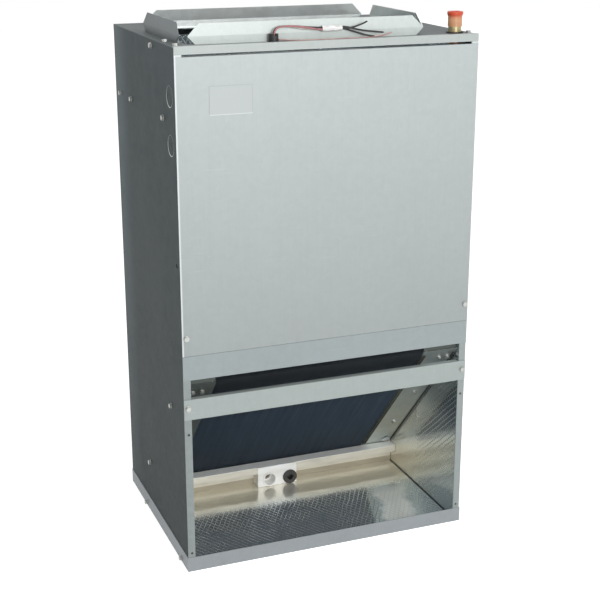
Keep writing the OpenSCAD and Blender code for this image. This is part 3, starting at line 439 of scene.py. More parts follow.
    def _grain(self, graph: Graph) -> None:
        """Moulded skin: fine pits and slow flow marks.

        Args:
            graph: The group's graph.
        """
        came = self._inputs(graph, Size=0.0006)
        pits = graph.noise(came["Vector"], graph.math("DIVIDE", 1.0, came["Size"]))
        flow = graph.noise(came["Vector"], (12.0, 30.0, 60.0), 3.0, 0.6)
        self._outputs(graph, Pits=pits, Flow=flow)

    def _tarnish(self, graph: Graph) -> None:
        """Handled metal: dark clouds and small spots.

        Args:
            graph: The group's graph.
        """
        came = self._inputs(graph, Amount=0.6)
        clouds = graph.span(graph.noise(came["Vector"], 60.0, 5.0, 0.65), 0.42, 0.72)
        spots = graph.span(graph.noise(came["Vector"], 420.0), 0.66, 0.74, 0.0, 0.4)
        self._outputs(graph, Mask=graph.times(graph.plus(clouds, spots), came["Amount"], clamp=True))


SHELF = EffectShelf()
MATERIALS: dict[str, bpy.types.Material] = {}


# ---------------------------------------------------------------- finishes


def shade(colour: Colour, factor: float | Colour, lift: float = 0.0) -> Colour:
    """Return a lighter or darker colour, held at 1.

    Args:
        colour: The colour to start from.
        factor: What it is multiplied by, as a whole or by channel.
        lift: What is added to each channel.

    Returns:
        The new colour.
    """
    factors = factor if isinstance(factor, tuple) else (factor,) * 3
    return tuple(min(c * f + lift, 1.0) for c, f in zip(colour, factors))


@dataclass(frozen=True)
class Finish:
    """A surface finish. Each kind of finish draws its own nodes in paint().

    Attributes:
        name: The material's name.
        colour: The main colour, linear.
        rough: The middle roughness.
        metal: How metallic the surface is.
        gloss: The shader's specular level.
    """

    name: str
    colour: Colour
    rough: float = 0.5
    metal: float = 0.0
    gloss: float = 0.5

    def material(self) -> bpy.types.Material:
        """Make the finish's material on first use.

        Returns:
            The material.
        """
        if self.name not in MATERIALS:
            made = MATERIALS[self.name] = bpy.data.materials.new(self.name)
            graph = Graph.cleared(made)
            shader = graph.node("BsdfPrincipled", {"Metallic": self.metal, "Roughness": self.rough,
                                                   "Specular IOR Level": self.gloss,
                                                   "Base Color": (*self.colour, 1.0)})
            graph.node("OutputMaterial", {0: shader.outputs[0]})
            for name, socket in self.paint(graph).items():
                graph.give(shader, name, socket)
            made.diffuse_color = (*self.colour, 1.0)
        return MATERIALS[self.name]

    def paint(self, graph: Graph) -> Sockets:
        """Draw the finish's nodes.

        Args:
            graph: The material's graph.

        Returns:
            The sockets that feed the Principled BSDF, by its inputs' names.
        """
        raise NotImplementedError

    @staticmethod
    def coordinates(graph: Graph) -> Socket:
        """Return the Object coordinates' socket."""
        return graph.node("TexCoord").outputs["Object"]


@dataclass(frozen=True)
class Galvanised(Finish):
    """Zinc-coated sheet: pale crystals, mill lines, scuffs and dull smudges, with painted shade that darkens it slowly
    towards the casing's foot, and where set painted light towards its rear edge and a painted highlight along two
    edges.

    Attributes:
        crystal: The usual width of a crystal, in metres.
        contrast: How much the crystals differ in tone.
        painted_shade_low: Brightness of the painted shade at the foot of the casing, against 1 at its head.
        grime: How strong the smudges are.
        fold: Colour of the strip that is folded across the casing's front face, where it differs.
        fold_y: y at which that strip ends.
        relief: How strongly the crystals and mill lines stand out.
        rear: Brightness of the painted light at the casing's rear edge, against 1 further forward. rear_y: y at which
            that painted light starts and ends.
        rear_y: y at which that change starts and ends.
        lit: x of the left edge and z of the top edge that get a painted highlight, where they do. lit_colour: Colour
            of that painted highlight.
        lit_colour: Colour of those edges.
    """

    crystal: float = 0.009
    contrast: float = 0.5
    painted_shade_low: float = 1.0
    grime: float = 0.35
    fold: Colour | None = None
    fold_y: float = -0.1966
    relief: float = 0.10
    rear: float = 1.0
    rear_y: Pair = (0.10, 0.19)
    lit: Pair | None = None
    lit_colour: Colour = (0.78, 0.83, 0.84)

    def paint(self, graph: Graph) -> Sockets:
        """Draw the zinc.

        Args:
            graph: The material's graph.

        Returns:
            The sockets for the shader's inputs, by the inputs' names.
        """
        place = self.coordinates(graph)
        across, deep, up = graph.parts(place)
        spangle = SHELF.place(graph, Effect.SPANGLE, place, Size=self.crystal, Contrast=self.contrast)
        rolling = SHELF.place(graph, Effect.ROLLING, place, Fineness=1.0, Scuffs=0.5)
        grime = SHELF.place(graph, Effect.GRIME, place, Amount=self.grime)
        pale = shade(self.colour, 1.14)
        zinc = graph.mix(spangle["Tone"], shade(self.colour, 0.80), pale)
        lined = graph.mix(graph.spread(rolling["Lines"], 0.0, 0.22), zinc, pale)
        soiled = graph.mix(grime["Mask"], lined, shade(self.colour, (0.62, 0.61, 0.58)))
        scuffed = graph.mix(rolling["Scuff"], soiled, pale)
        # Painted shade: the sheet darkens towards the casing's foot.
        tone = graph.span(up, 0.0, CASING_TOP, self.painted_shade_low, 1.0)
        # Painted light: where set, the sheet grows lighter towards its rear edge.
        if self.rear != 1.0:
            tone = graph.times(tone, graph.span(deep, *self.rear_y, 1.0, self.rear, smooth=True))
        grey = graph.node("CombineXYZ", {0: tone, 1: tone, 2: tone}).outputs[0]
        sheet = graph.mix(1.0, scuffed, grey, "MULTIPLY")
        if self.fold is not None:
            folded = graph.mix(graph.span(spangle["Tone"], 0.0, 1.0, 0.0, 0.25), self.fold, pale)
            sheet = graph.mix(graph.past(deep, self.fold_y), folded, sheet)
        # Painted highlight along the left and top edges.
        if self.lit is not None:
            left = graph.span(across, self.lit[0] + 0.0014, self.lit[0] + 0.0030, 1.0, 0.0)
            top = graph.span(up, self.lit[1] - 0.0024, self.lit[1] - 0.0014)
            sheet = graph.mix(graph.times(graph.math("MAXIMUM", left, top), 0.75), sheet, self.lit_colour)
        rough = graph.plus(graph.span(spangle["Tone"], 0.2, 0.8, self.rough - 0.06, self.rough + 0.06),
                           graph.times(grime["Mask"], 0.25), clamp=True)
        height = graph.plus(graph.times(rolling["Lines"], 0.4), spangle["Tone"])
        return {"Base Color": sheet, "Roughness": rough, "Normal": graph.bump(height, self.relief, 0.0003)}


@dataclass(frozen=True)
class Foil(Finish):
    """Foil facing over yarn scrim, on the piece's own UV map in metres.

    Attributes:
        crumple: How deep the creases are, in metres.
        yarn: How high the yarn stands, in metres.
        lean: How far the yarns lean from the sheet's second direction, in degrees.
        aged_and_reflection_tint: Painted reflection: a warm tint of the film towards the drain pan, where the film is
            also less metallic. reflection_tint_from: y at which the tint starts. reflection_tint_to: y at which it is
            complete. reflection_tint_z: z between which the tint fades out upwards.
        reflection_tint_from: y at which the dulling starts.
        reflection_tint_to: y at which it is complete.
        reflection_tint_z: z between which the dulling fades out upwards.
        head: How much painted shade darkens the film high in the return opening, from 0 to 1. head_shade_z: z between
            which the painted shade comes in, and z between which it ends. head_shade_colour: The painted shade's
            colour.
        head_shade_z: z between which the head darkens, and z between which it ends.
        head_shade_colour: What it darkens to.
        haze: Left and right limits of a rougher strip that scatters the light, where there is one; its pale colour is
            partly a painted highlight.
        haze_slant: How far the strip moves to the left for each metre towards the front.
        haze_y: y at which the strip starts.
        haze_highlight_colour: The strip's colour, made pale in part as a painted highlight.
    """

    crumple: float = 0.0006
    yarn: float = 0.0003
    lean: float = 30.0
    aged_and_reflection_tint: Colour = (0.96, 0.92, 0.80)
    reflection_tint_from: float = -0.055
    reflection_tint_to: float = 0.020
    reflection_tint_z: Pair = (0.20, 0.34)
    head: float = 0.0
    head_shade_z: tuple[Pair, Pair] = ((0.175, 0.240), (0.34, 0.40))
    head_shade_colour: Colour = (0.22, 0.26, 0.28)
    haze: Pair | None = None
    haze_slant: float = 0.28
    haze_y: float = -0.05
    haze_highlight_colour: Colour = (0.95, 0.96, 0.92)

    def hazed(self, graph: Graph, across: Socket, deep: Socket, waves: Socket) -> Socket:
        """Return 1 inside the strip and 0 outside it.

        Args:
            graph: The material's graph.
            across: The socket of x.
            deep: The socket of y.
            waves: A cloudy value that makes the edges uneven.

        Returns:
            The strip's mask, eased over its edges.
        """
        left, right = self.haze
        slid = graph.plus(across, graph.times(graph.minus(self.haze_y, deep), self.haze_slant))
        slid = graph.plus(slid, graph.spread(waves, -0.010, 0.010))
        inside = graph.times(graph.span(slid, left - 0.008, left + 0.012, smooth=True),
                             graph.span(slid, right - 0.018, right + 0.012, 1.0, 0.0, smooth=True))
        ahead = graph.span(deep, self.haze_y - 0.012, self.haze_y + 0.030, 1.0, 0.0, smooth=True)
        return graph.times(inside, ahead)

    def paint(self, graph: Graph) -> Sockets:
        """Draw the foil.

        Args:
            graph: The material's graph.

        Returns:
            The sockets for the shader's inputs, by the inputs' names.
        """
        place = graph.node("UVMap", uv_map=SHEET_MAP).outputs[0]
        scrim = SHELF.place(graph, Effect.SCRIM, place, Pitch=0.0085, Yarn=0.11, Lean=self.lean)
        grime = SHELF.place(graph, Effect.GRIME, place, Amount=0.3)
        dull = shade(self.colour, (0.72, 0.70, 0.62))
        across, deep, up = graph.parts(self.coordinates(graph))
        # Painted reflection: towards the drain pan the film takes a warm tint and less metal, fading out upwards.
        back = graph.times(graph.span(deep, self.reflection_tint_from, self.reflection_tint_to, smooth=True),
                           graph.span(up, *self.reflection_tint_z, 1.0, 0.0))
        film = graph.mix(back, self.colour, self.aged_and_reflection_tint)
        # Painted shade high in the return opening.
        if self.head:
            start, end = self.head_shade_z
            high = graph.times(graph.span(up, *start, smooth=True), graph.span(up, *end, 1.0, 0.0))
            film = graph.mix(graph.times(high, self.head), film, self.head_shade_colour)
        lined = graph.mix(graph.times(scrim["Lines"], 0.4), film, shade(self.colour, 1.25))
        soiled = graph.mix(grime["Mask"], lined, dull)
        metal = graph.span(back, 0.0, 1.0, self.metal, self.metal - 0.20)
        # A rougher, less metallic strip, drawn pale in part as a painted highlight.
        if self.haze is not None:
            strip = self.hazed(graph, across, deep, scrim["Waves"])
            milky_highlight = graph.mix(graph.times(scrim["Lines"], 0.75), self.haze_highlight_colour, dull)
            soiled = graph.mix(graph.times(strip, 0.85), soiled, milky_highlight)
            metal = graph.minus(metal, graph.times(strip, 0.58))
        rough = graph.plus(graph.spread(scrim["Waves"], self.rough - 0.03, self.rough + 0.05),
                           graph.times(grime["Mask"], 0.2), clamp=True)
        soft = graph.bump(scrim["Waves"], 0.25, 0.0008)
        creased = graph.bump(scrim["Crumple"], 0.06, self.crumple, soft)
        shown = graph.times(scrim["Lines"], graph.span(back, 0.0, 1.0, 1.0, 0.25))
        broken = graph.times(shown, graph.span(scrim["Waves"], 0.32, 0.56, 0.30, 1.0))
        return {"Base Color": soiled, "Metallic": metal, "Roughness": rough,
                "Normal": graph.bump(broken, 0.9, self.yarn, creased)}


@dataclass(frozen=True)
class Moulded(Finish):
    """Moulded or rubber surface: fine pits, flow marks, dust in the clouds.

    Attributes:
        pit: Width of a pit, in metres.
        dust: How much pale dust lies on it.
        dust_colour: The dust's own colour, half of which shows.
        ledge: Colour of the piece above a height, where it differs: a painted highlight on the pan's top rim, the
            cap's own red top on the cap.
        ledge_z: That height.
        ledge_soft: Half the height over which the one colour runs into the other.
    """

    pit: float = 0.0006
    dust: float = 0.3
    dust_colour: Colour = (0.42, 0.41, 0.38)
    ledge: Colour | None = None
    ledge_z: float = 0.0512
    ledge_soft: float = 0.0002

    def paint(self, graph: Graph) -> Sockets:
        """Draw the plastic.

        Args:
            graph: The material's graph.

        Returns:
            The sockets for the shader's inputs, by the inputs' names.
        """
        place = self.coordinates(graph)
        grain = SHELF.place(graph, Effect.GRAIN, place, Size=self.pit)
        grime = SHELF.place(graph, Effect.GRIME, place, Amount=self.dust)
        base = graph.mix(graph.spread(grain["Flow"]), shade(self.colour, 0.86), shade(self.colour, 1.10, 0.01))
        dust = tuple(0.5 * c + 0.5 * d for c, d in zip(self.colour, self.dust_colour))
        dusty = graph.mix(grime["Mask"], base, dust)
        # Above the ledge height: painted highlight on the pan, the cap's own red top on the cap.
        if self.ledge is not None:
            above = graph.past(graph.parts(place)[2], self.ledge_z, self.ledge_soft)
            dusty = graph.mix(above, dusty, self.ledge)
        rough = graph.spread(grain["Pits"], self.rough - 0.08, self.rough + 0.10)
        return {"Base Color": dusty, "Roughness": rough, "Normal": graph.bump(grain["Pits"], 0.25, 0.0002)}


@dataclass(frozen=True)
class Copper(Finish):
    """Drawn copper tube: tarnish clouds, spots and a heat-tinted band.

    Attributes:
        tarnish: How much of the surface has darkened.
        tint: Colour of the golden heat tint.
        tint_from: Height at which the tint starts.
        tint_to: Height at which it ends.
        indoors: Height under which the copper has browned inside the casing.
    """

    tarnish: float = 0.6
    tint: Colour = (0.46, 0.48, 0.27)
    tint_from: float = 2.0
    tint_to: float = 2.1
    indoors: float = 0.916

    def paint(self, graph: Graph) -> Sockets:
        """Draw the copper.

        Args:
            graph: The material's graph.

        Returns:
            The sockets for the shader's inputs, by the inputs' names.
        """
        place = self.coordinates(graph)
        up = graph.parts(place)[2]
        tarnish = SHELF.place(graph, Effect.TARNISH, place, Amount=self.tarnish)
        brown = shade(self.colour, (0.42, 0.34, 0.30))
        indoors = graph.span(up, self.indoors - 0.004, self.indoors, 1.0, 0.0)
        band = graph.times(graph.past(up, self.tint_from, 0.002),
                           graph.span(up, self.tint_to - 0.003, self.tint_to + 0.003, 1.0, 0.0))
        base = graph.mix(graph.times(band, 0.8), self.colour, self.tint)
        aged_and_reflection_tint = graph.mix(tarnish["Mask"], base, brown)
        rough = graph.plus(graph.times(tarnish["Mask"], 0.3), self.rough, clamp=True)
        drawn = graph.noise(place, (1500.0, 1500.0, 30.0))
        return {"Base Color": graph.mix(graph.times(indoors, 0.55), aged_and_reflection_tint, brown), "Roughness": rough,
                "Normal": graph.bump(drawn, 0.08, 0.0002)}


@dataclass(frozen=True)
class BareMetal(Finish):
    """Machined, stamped or painted metal: fine lines, tarnish and rubbed spots.

    Attributes:
        lines: How strong the fine lines are.
        worn: Colour that shows in rubbed spots.
        tarnish: How much of the surface has darkened.
    """

    lines: float = 0.3
    worn: Colour = (0.55, 0.55, 0.54)
    tarnish: float = 0.45

    def paint(self, graph: Graph) -> Sockets:
        """Draw the metal.

        Args:
            graph: The material's graph.

        Returns:
            The sockets for the shader's inputs, by the inputs' names.
        """
        place = self.coordinates(graph)
        rolling = SHELF.place(graph, Effect.ROLLING, place, Fineness=2.0, Scuffs=0.7)
        tarnish = SHELF.place(graph, Effect.TARNISH, place, Amount=self.tarnish)
        base = graph.mix(graph.spread(rolling["Lines"], 0.0, self.lines), self.colour, shade(self.colour, 1.18))
        aged_and_reflection_tint = graph.mix(tarnish["Mask"], base, shade(self.colour, 0.66))
        return {"Base Color": graph.mix(rolling["Scuff"], aged_and_reflection_tint, self.worn),
                "Roughness": graph.span(tarnish["Mask"], 0.0, 0.5, self.rough, self.rough + 0.18),
                "Normal": graph.bump(rolling["Lines"], 0.15, 0.0002)}


@dataclass(frozen=True)
class PlateMetal(BareMetal):
    """A bare plate with a painted highlight on its lower edge and painted shade on its other edges.

    Attributes:
        across: x of its left and right edges.
        upward: z of its lower and upper edges.
        edge: Width of the edges' line.
        lit: Colour of the painted highlight on the lower edge. shaded: Colour of the painted shade on the other edges.
        shaded: Colour of the other edges.
    """

    across: Pair = (0.0, 1.0)
    upward: Pair = (0.0, 1.0)
    edge: float = 0.0012
    lit: Colour = (0.60, 0.64, 0.63)
    shaded: Colour = (0.36, 0.40, 0.39)

    def paint(self, graph: Graph) -> Sockets:
        """Draw the plate.

        Args:
            graph: The material's graph.

        Returns:
            The sockets for the shader's inputs, by the inputs' names.
        """
        drawn = super().paint(graph)
        x, _, z = graph.parts(self.coordinates(graph))
        side = graph.math("MINIMUM", graph.minus(x, self.across[0]), graph.minus(self.across[1], x))
        near = graph.math("MINIMUM", side, graph.minus(self.upward[1], z))
        # Painted shade on the side and top edges, painted highlight on the lower edge.
        rim = graph.span(near, 0.5 * self.edge, 0.8 * self.edge, 1.0, 0.0)
        rimmed = graph.mix(rim, drawn["Base Color"], self.shaded)
        foot = graph.span(graph.minus(z, self.upward[0]), 0.8 * self.edge, 1.2 * self.edge, 1.0, 0.0)
        return {**drawn, "Base Color": graph.mix(foot, rimmed, self.lit)}


@dataclass(frozen=True)
class Fins(Finish):
    """Coated fin edges: cool grey-blue, with a stain towards the foot and shade at the head.

    Attributes:
        stain: Colour of the stain.
        stain_z: z between which it fades out.
        dim: Colour of the shaded head.
        dim_z: z between which the shade comes in.
    """

    stain: Colour = (0.25, 0.24, 0.20)
    stain_z: Pair = (0.03, 0.14)
    dim: Colour = (0.115, 0.125, 0.130)
    dim_z: Pair = (0.22, 0.33)

    def paint(self, graph: Graph) -> Sockets:
        """Draw the fins.

        Args:
            graph: The material's graph.

        Returns:
            The sockets for the shader's inputs, by the inputs' names.
        """
        place = self.coordinates(graph)
        up = graph.parts(place)[2]
        cloud = graph.noise(place, (9.0, 3.0, 3.0), 4.0, 0.6)
        comb = graph.noise(place, (560.0, 6.0, 6.0))
        pale = shade(self.colour, 1.22)
        base = graph.mix(graph.spread(comb), shade(self.colour, 0.82), pale)
        stained = graph.mix(graph.times(graph.span(up, *self.stain_z, 0.5, 0.0), cloud), base, self.stain)
        clouded = graph.mix(graph.span(cloud, 0.5, 0.8, 0.0, 0.35), stained, pale)
        return {"Base Color": graph.mix(graph.span(up, *self.dim_z, 0.0, 0.75), clouded, self.dim),
                "Roughness": graph.spread(cloud, self.rough - 0.06, self.rough + 0.1),
                "Normal": graph.bump(comb, 0.15, 0.0004)}


@dataclass(frozen=True)
class Board(Finish):
    """Green circuit board: tracks as thin pale-green lines on a dark green mask, with tinned pads.

    Attributes:
        tinned: Colour of the pads.
    """

    tinned: Colour = (0.62, 0.62, 0.60)

    @staticmethod
    def tracks(graph: Graph, along: Socket, pitch: float, bend: Socket, step: float, jog: float) -> Socket:
        """Return 1 on a set of tracks and 0 between them.

        Args:
            graph: The material's graph.
            along: The coordinate that the set is spaced on.
            pitch: Distance between two tracks, in metres.
            bend: A cloudy value that moves the tracks sideways.
            step: Height of a step of that value.
            jog: How far a track moves for a value of 1, in pitches.

        Returns:
            The set's mask.
        """
        moved = graph.plus(graph.math("DIVIDE", along, pitch), graph.times(graph.math("SNAP", bend, step), jog))
        return graph.span(graph.math("PINGPONG", moved, 0.5), 0.10, 0.16, 1.0, 0.0)

    def paint(self, graph: Graph) -> Sockets:
        """Draw the board.

        Args:
            graph: The material's graph.

        Returns:
            The sockets for the shader's inputs, by the inputs' names.
        """
        place = self.coordinates(graph)
        across, _, up = graph.parts(place)
        bend = graph.noise(place, (40.0, 1.0, 40.0), 0.0)
        copper = graph.math("MAXIMUM", self.tracks(graph, across, 0.004, bend, 0.12, 16.0),
                            self.tracks(graph, up, 0.0062, bend, 0.2, 9.0))
        pads = graph.node("TexVoronoi", {"Vector": graph.stretched(place, (170.0, 1.0, 170.0)), "Scale": 1.0,
                                         "Randomness": 0.35}, feature="F1")
        tin = graph.span(pads.outputs[0], 0.10, 0.14, 1.0, 0.0)
        masked = graph.mix(copper, self.colour, shade(self.colour, 2.1))
        return {"Base Color": graph.mix(tin, masked, self.tinned),
                "Roughness": graph.span(tin, 0.0, 1.0, self.rough, 0.3),
                "Normal": graph.bump(graph.math("MAXIMUM", copper, tin), 0.3, 0.0002)}


@dataclass(frozen=True)
class Insulation(Finish):
    """Lead insulation or woven sleeve, on the piece's own UV map: length and girth in metres.

    Attributes:
        weave: Threads a metre of a woven sleeve, or 0 for smooth insulation.
        tail: Colour of the tail past the sleeve, where it differs.
        tail_x: x at which the tail starts.
    """

    weave: float = 0.0
    tail: Colour | None = None
    tail_x: float = 0.020

    def paint(self, graph: Graph) -> Sockets:
        """Draw the insulation.

        Args:
            graph: The material's graph.

        Returns:
            The sockets for the shader's inputs, by the inputs' names.
        """
        place = graph.node("UVMap", uv_map=SHEET_MAP).outputs[0]
        smear = graph.noise(place, (90.0, 300.0, 1.0), 3.0, 0.6)
        base = graph.mix(graph.spread(smear), shade(self.colour, 0.7), shade(self.colour, 1.25, 0.012))
        if self.tail is not None:
            past = graph.past(graph.parts(self.coordinates(graph))[0], self.tail_x, 0.0005)
            base = graph.mix(past, base, self.tail)
        if self.weave:
            along, girth, _ = graph.parts(place)
            height = graph.times(*(graph.math("PINGPONG", graph.times(slanted, self.weave), 1.0)
                                   for slanted in (graph.plus(along, girth), graph.minus(along, girth))))
        else:
            height = graph.noise(place, (500.0, 900.0, 1.0))
        return {"Base Color": base, "Roughness": graph.spread(smear, self.rough - 0.08, self.rough + 0.1),
                "Normal": graph.bump(height, 0.3, 0.0003)}


# The strip of a side sheet that is folded across the casing's front, lighter than the rest of the sheet, which on the
# left side is painted shade
FOLD = (0.330, 0.370, 0.365)


class Surface(Enum):
    """Every finish of the air handler."""

    # Painted shade darkens the front towards its foot, and a painted highlight runs along its left and top edges.
    FRONT = Galvanised("zinc_front", (0.460, 0.505, 0.504), 0.52, 0.18, painted_shade_low=0.52, contrast=0.12, grime=0.12,
                       lit=(-0.2690, 0.9067))
    TRIM = Galvanised("zinc_trim", (0.430, 0.470, 0.460), 0.50, 0.18, contrast=0.14, grime=0.15)
    UPPER = Galvanised("zinc_upper_rail", (0.311, 0.353, 0.360), 0.50, 0.18, contrast=0.14, grime=0.15)
    RAIL = Galvanised("zinc_filter_rail", (0.358, 0.404, 0.392), 0.50, 0.18, contrast=0.14, grime=0.15)
    TRAY = Galvanised("zinc_tray", (0.309, 0.337, 0.350), 0.50, 0.18, contrast=0.16, grime=0.20)
    # Painted shade: the left side is drawn dark for the shade it stands in, darker still towards its foot, and lighter
    # towards its rear edge as painted light.
    SIDE = Galvanised("zinc_side_painted_shade", (0.078, 0.098, 0.102), 0.60, 0.06, gloss=0.12, painted_shade_low=0.50, contrast=0.4,
                      grime=0.3, fold=FOLD, rear=1.9)
    # Painted shade darkens the right side and the back towards the foot.
    FAR_SIDE = Galvanised("zinc_far_side", (0.185, 0.210, 0.213), 0.55, 0.15, gloss=0.25, painted_shade_low=0.75,
                          contrast=0.4, grime=0.3, fold=FOLD)
    # Painted shade: the top sheet is drawn dark for the shade it lies in.
    TOP = Galvanised("zinc_top_painted_shade", (0.135, 0.155, 0.160), 0.55, 0.10, gloss=0.15, contrast=0.4)
    COLLAR = Galvanised("zinc_collar", (0.540, 0.590, 0.570), 0.46, 0.22, contrast=0.2, grime=0.15)
    # Painted highlight: the back and right duct flanges are a brighter copy of the collar's zinc.
    LIT_BACK_COLLAR = Galvanised("zinc_back_collar_painted_highlight", (0.74, 0.78, 0.77), 0.36, 0.85, contrast=0.2, grime=0.15)
    # Painted shade: the left duct flange is a dark copy of the collar's zinc.
    SHADED_FLARE = Galvanised("zinc_side_collar_painted_shade", (0.190, 0.215, 0.222), 0.48, 0.55, gloss=0.3, contrast=0.3)
    INNER = Galvanised("zinc_inner", (0.44, 0.47, 0.47), 0.40, 0.45, contrast=0.7)
    # Painted shade: the left coil channel and the channel heads are drawn near black for the shade in the return
    # opening.
    SHADED_CHANNEL = Galvanised("zinc_left_channel_painted_shade", (0.075, 0.090, 0.082), 0.50, 0.20, gloss=0.3, contrast=0.4)
    BRACKET = Galvanised("zinc_right_channel", (0.58, 0.62, 0.60), 0.32, 0.88, contrast=0.3,
                         relief=0.012)
    FOIL = Foil("foil_facing", (0.74, 0.83, 0.88), 0.10, 0.82)
    FLOOR_FOIL = Foil("floor_foil_facing", (0.74, 0.83, 0.88), 0.10, 0.82, haze=(0.161, 0.225))
    WALL_FOIL = Foil("wall_foil_facing", (0.74, 0.82, 0.84), 0.10, 0.84, lean=50.0, reflection_tint_from=-0.21, reflection_tint_to=0.08,
                     head=0.75)
    BATT = Moulded("lining_edge", (0.085, 0.080, 0.060), 0.95, 0.0, pit=0.0012, dust=0.2)
    # Painted highlight: the pan's top rim, above the ledge height, is drawn pale.
    PAN = Moulded("pan_moulding", (0.71, 0.68, 0.580), 0.50, 0.0, dust=0.1, ledge=(0.92, 0.93, 0.90))
    # Painted shade: the sill is a darker copy of the pan's plastic, for the shade under the pan's lip.
    SHADED_SILL = Moulded("sill_plastic_painted_shade", (0.40, 0.360, 0.270), 0.65, 0.0, dust=0.3)
    BLOCK = Moulded("white_moulding", (0.97, 0.97, 0.90), 0.38, 0.0, dust=0.12)
    BLACK = Moulded("black_moulding", (0.012, 0.012, 0.013), 0.42, 0.0, dust=0.08)
    RUBBER = Moulded("soft_rubber", (0.014, 0.014, 0.014), 0.70, 0.0, dust=0.15)
    CAP = Moulded("orange_cap", (0.60, 0.300, 0.155), 0.30, 0.0, pit=0.0004, dust=0.06, ledge=(0.62, 0.070, 0.020),
                  ledge_z=0.9468, ledge_soft=0.0040)
    FINS = Fins("fin_coating", (0.165, 0.225, 0.300), 0.45, 0.35)
    COPPER = Copper("drawn_copper", (0.52, 0.26, 0.14), 0.30, 0.92, tarnish=0.45, tint_from=0.921, tint_to=0.936)
    BRASS = BareMetal("turned_brass", (0.60, 0.42, 0.14), 0.28, 0.95, worn=(0.80, 0.62, 0.28))
    SCREW = BareMetal("zinc_screws", (0.44, 0.45, 0.43), 0.34, 0.85, worn=(0.7, 0.7, 0.68))
    STEEL = BareMetal("ground_steel", (0.30, 0.30, 0.30), 0.32, 0.95)
    MOTOR = BareMetal("motor_enamel", (0.020, 0.021, 0.023), 0.40, 0.10, lines=0.15, worn=(0.10, 0.10, 0.10))
    CAN = BareMetal("can_metal", (0.60, 0.61, 0.62), 0.30, 0.90, worn=(0.75, 0.75, 0.75))
    ELEMENT = BareMetal("element_wire", (0.19, 0.175, 0.15), 0.42, 0.85, worn=(0.32, 0.28, 0.22))
    CERAMIC = Moulded("white_ceramic", (0.72, 0.70, 0.64), 0.55, 0.0, dust=0.2)
    LAMINATE = BareMetal("core_laminate", (0.085, 0.086, 0.092), 0.45, 0.55, worn=(0.25, 0.24, 0.22))
    PLATE = PlateMetal("bare_plate", (0.432, 0.470, 0.464), 0.50, 0.20, lines=0.12, worn=(0.432, 0.470, 0.464),
                       tarnish=0.0, across=PLATE_X, upward=PLATE_Z)
    # Painted highlight: the knock-out rims are paler than the side's zinc.
    LANCED_HIGHLIGHT = Galvanised("zinc_lanced_rim_painted_highlight", (0.62, 0.66, 0.65), 0.40, 0.30, contrast=0.1)
    # The wide strip along the coil's edge is a painted shadow; the narrow one is foam at a dark joint.
    FOAM_AND_SHADOW = Moulded("foam_and_shadow_strip", (0.030, 0.033, 0.024), 0.95, 0.0, pit=0.0009, dust=0.1)
    BOARD = Board("green_board", (0.012, 0.085, 0.035), 0.36, 0.0)
    BLACK_LEAD = Insulation("black_lead", (0.012, 0.011, 0.011), 0.42)
    RED_LEAD = Insulation("red_lead", (0.42, 0.17, 0.18), 0.46, tail=(0.014, 0.013, 0.013))
    DRAWN_LEAD = Insulation("white_power_lead", (0.62, 0.58, 0.56), 0.42, tail=(0.018, 0.017, 0.016))
    WHITE_LEAD = Insulation("white_lead", (0.72, 0.70, 0.66), 0.42)
    PINK_LEAD = Insulation("pink_lead", (0.46, 0.24, 0.22), 0.5)
    SLEEVE = Insulation("white_sleeve", (0.86, 0.86, 0.84), 0.62, 0.0, weave=900.0)

    def material(self) -> bpy.types.Material:
        """Return the finish's material."""
        return self.value.material()


# ---------------------------------------------------------------- surfaces on grids


def in_scene(name: str, data: bpy.types.ID) -> bpy.types.Object:
    """Put some data into the scene.

    Args:
        name: The object's name.
        data: Its mesh, lamp or camera.

    Returns:
        The new object.
    """
    made = bpy.data.objects.new(name, data)
    bpy.context.scene.collection.objects.link(made)
    return made


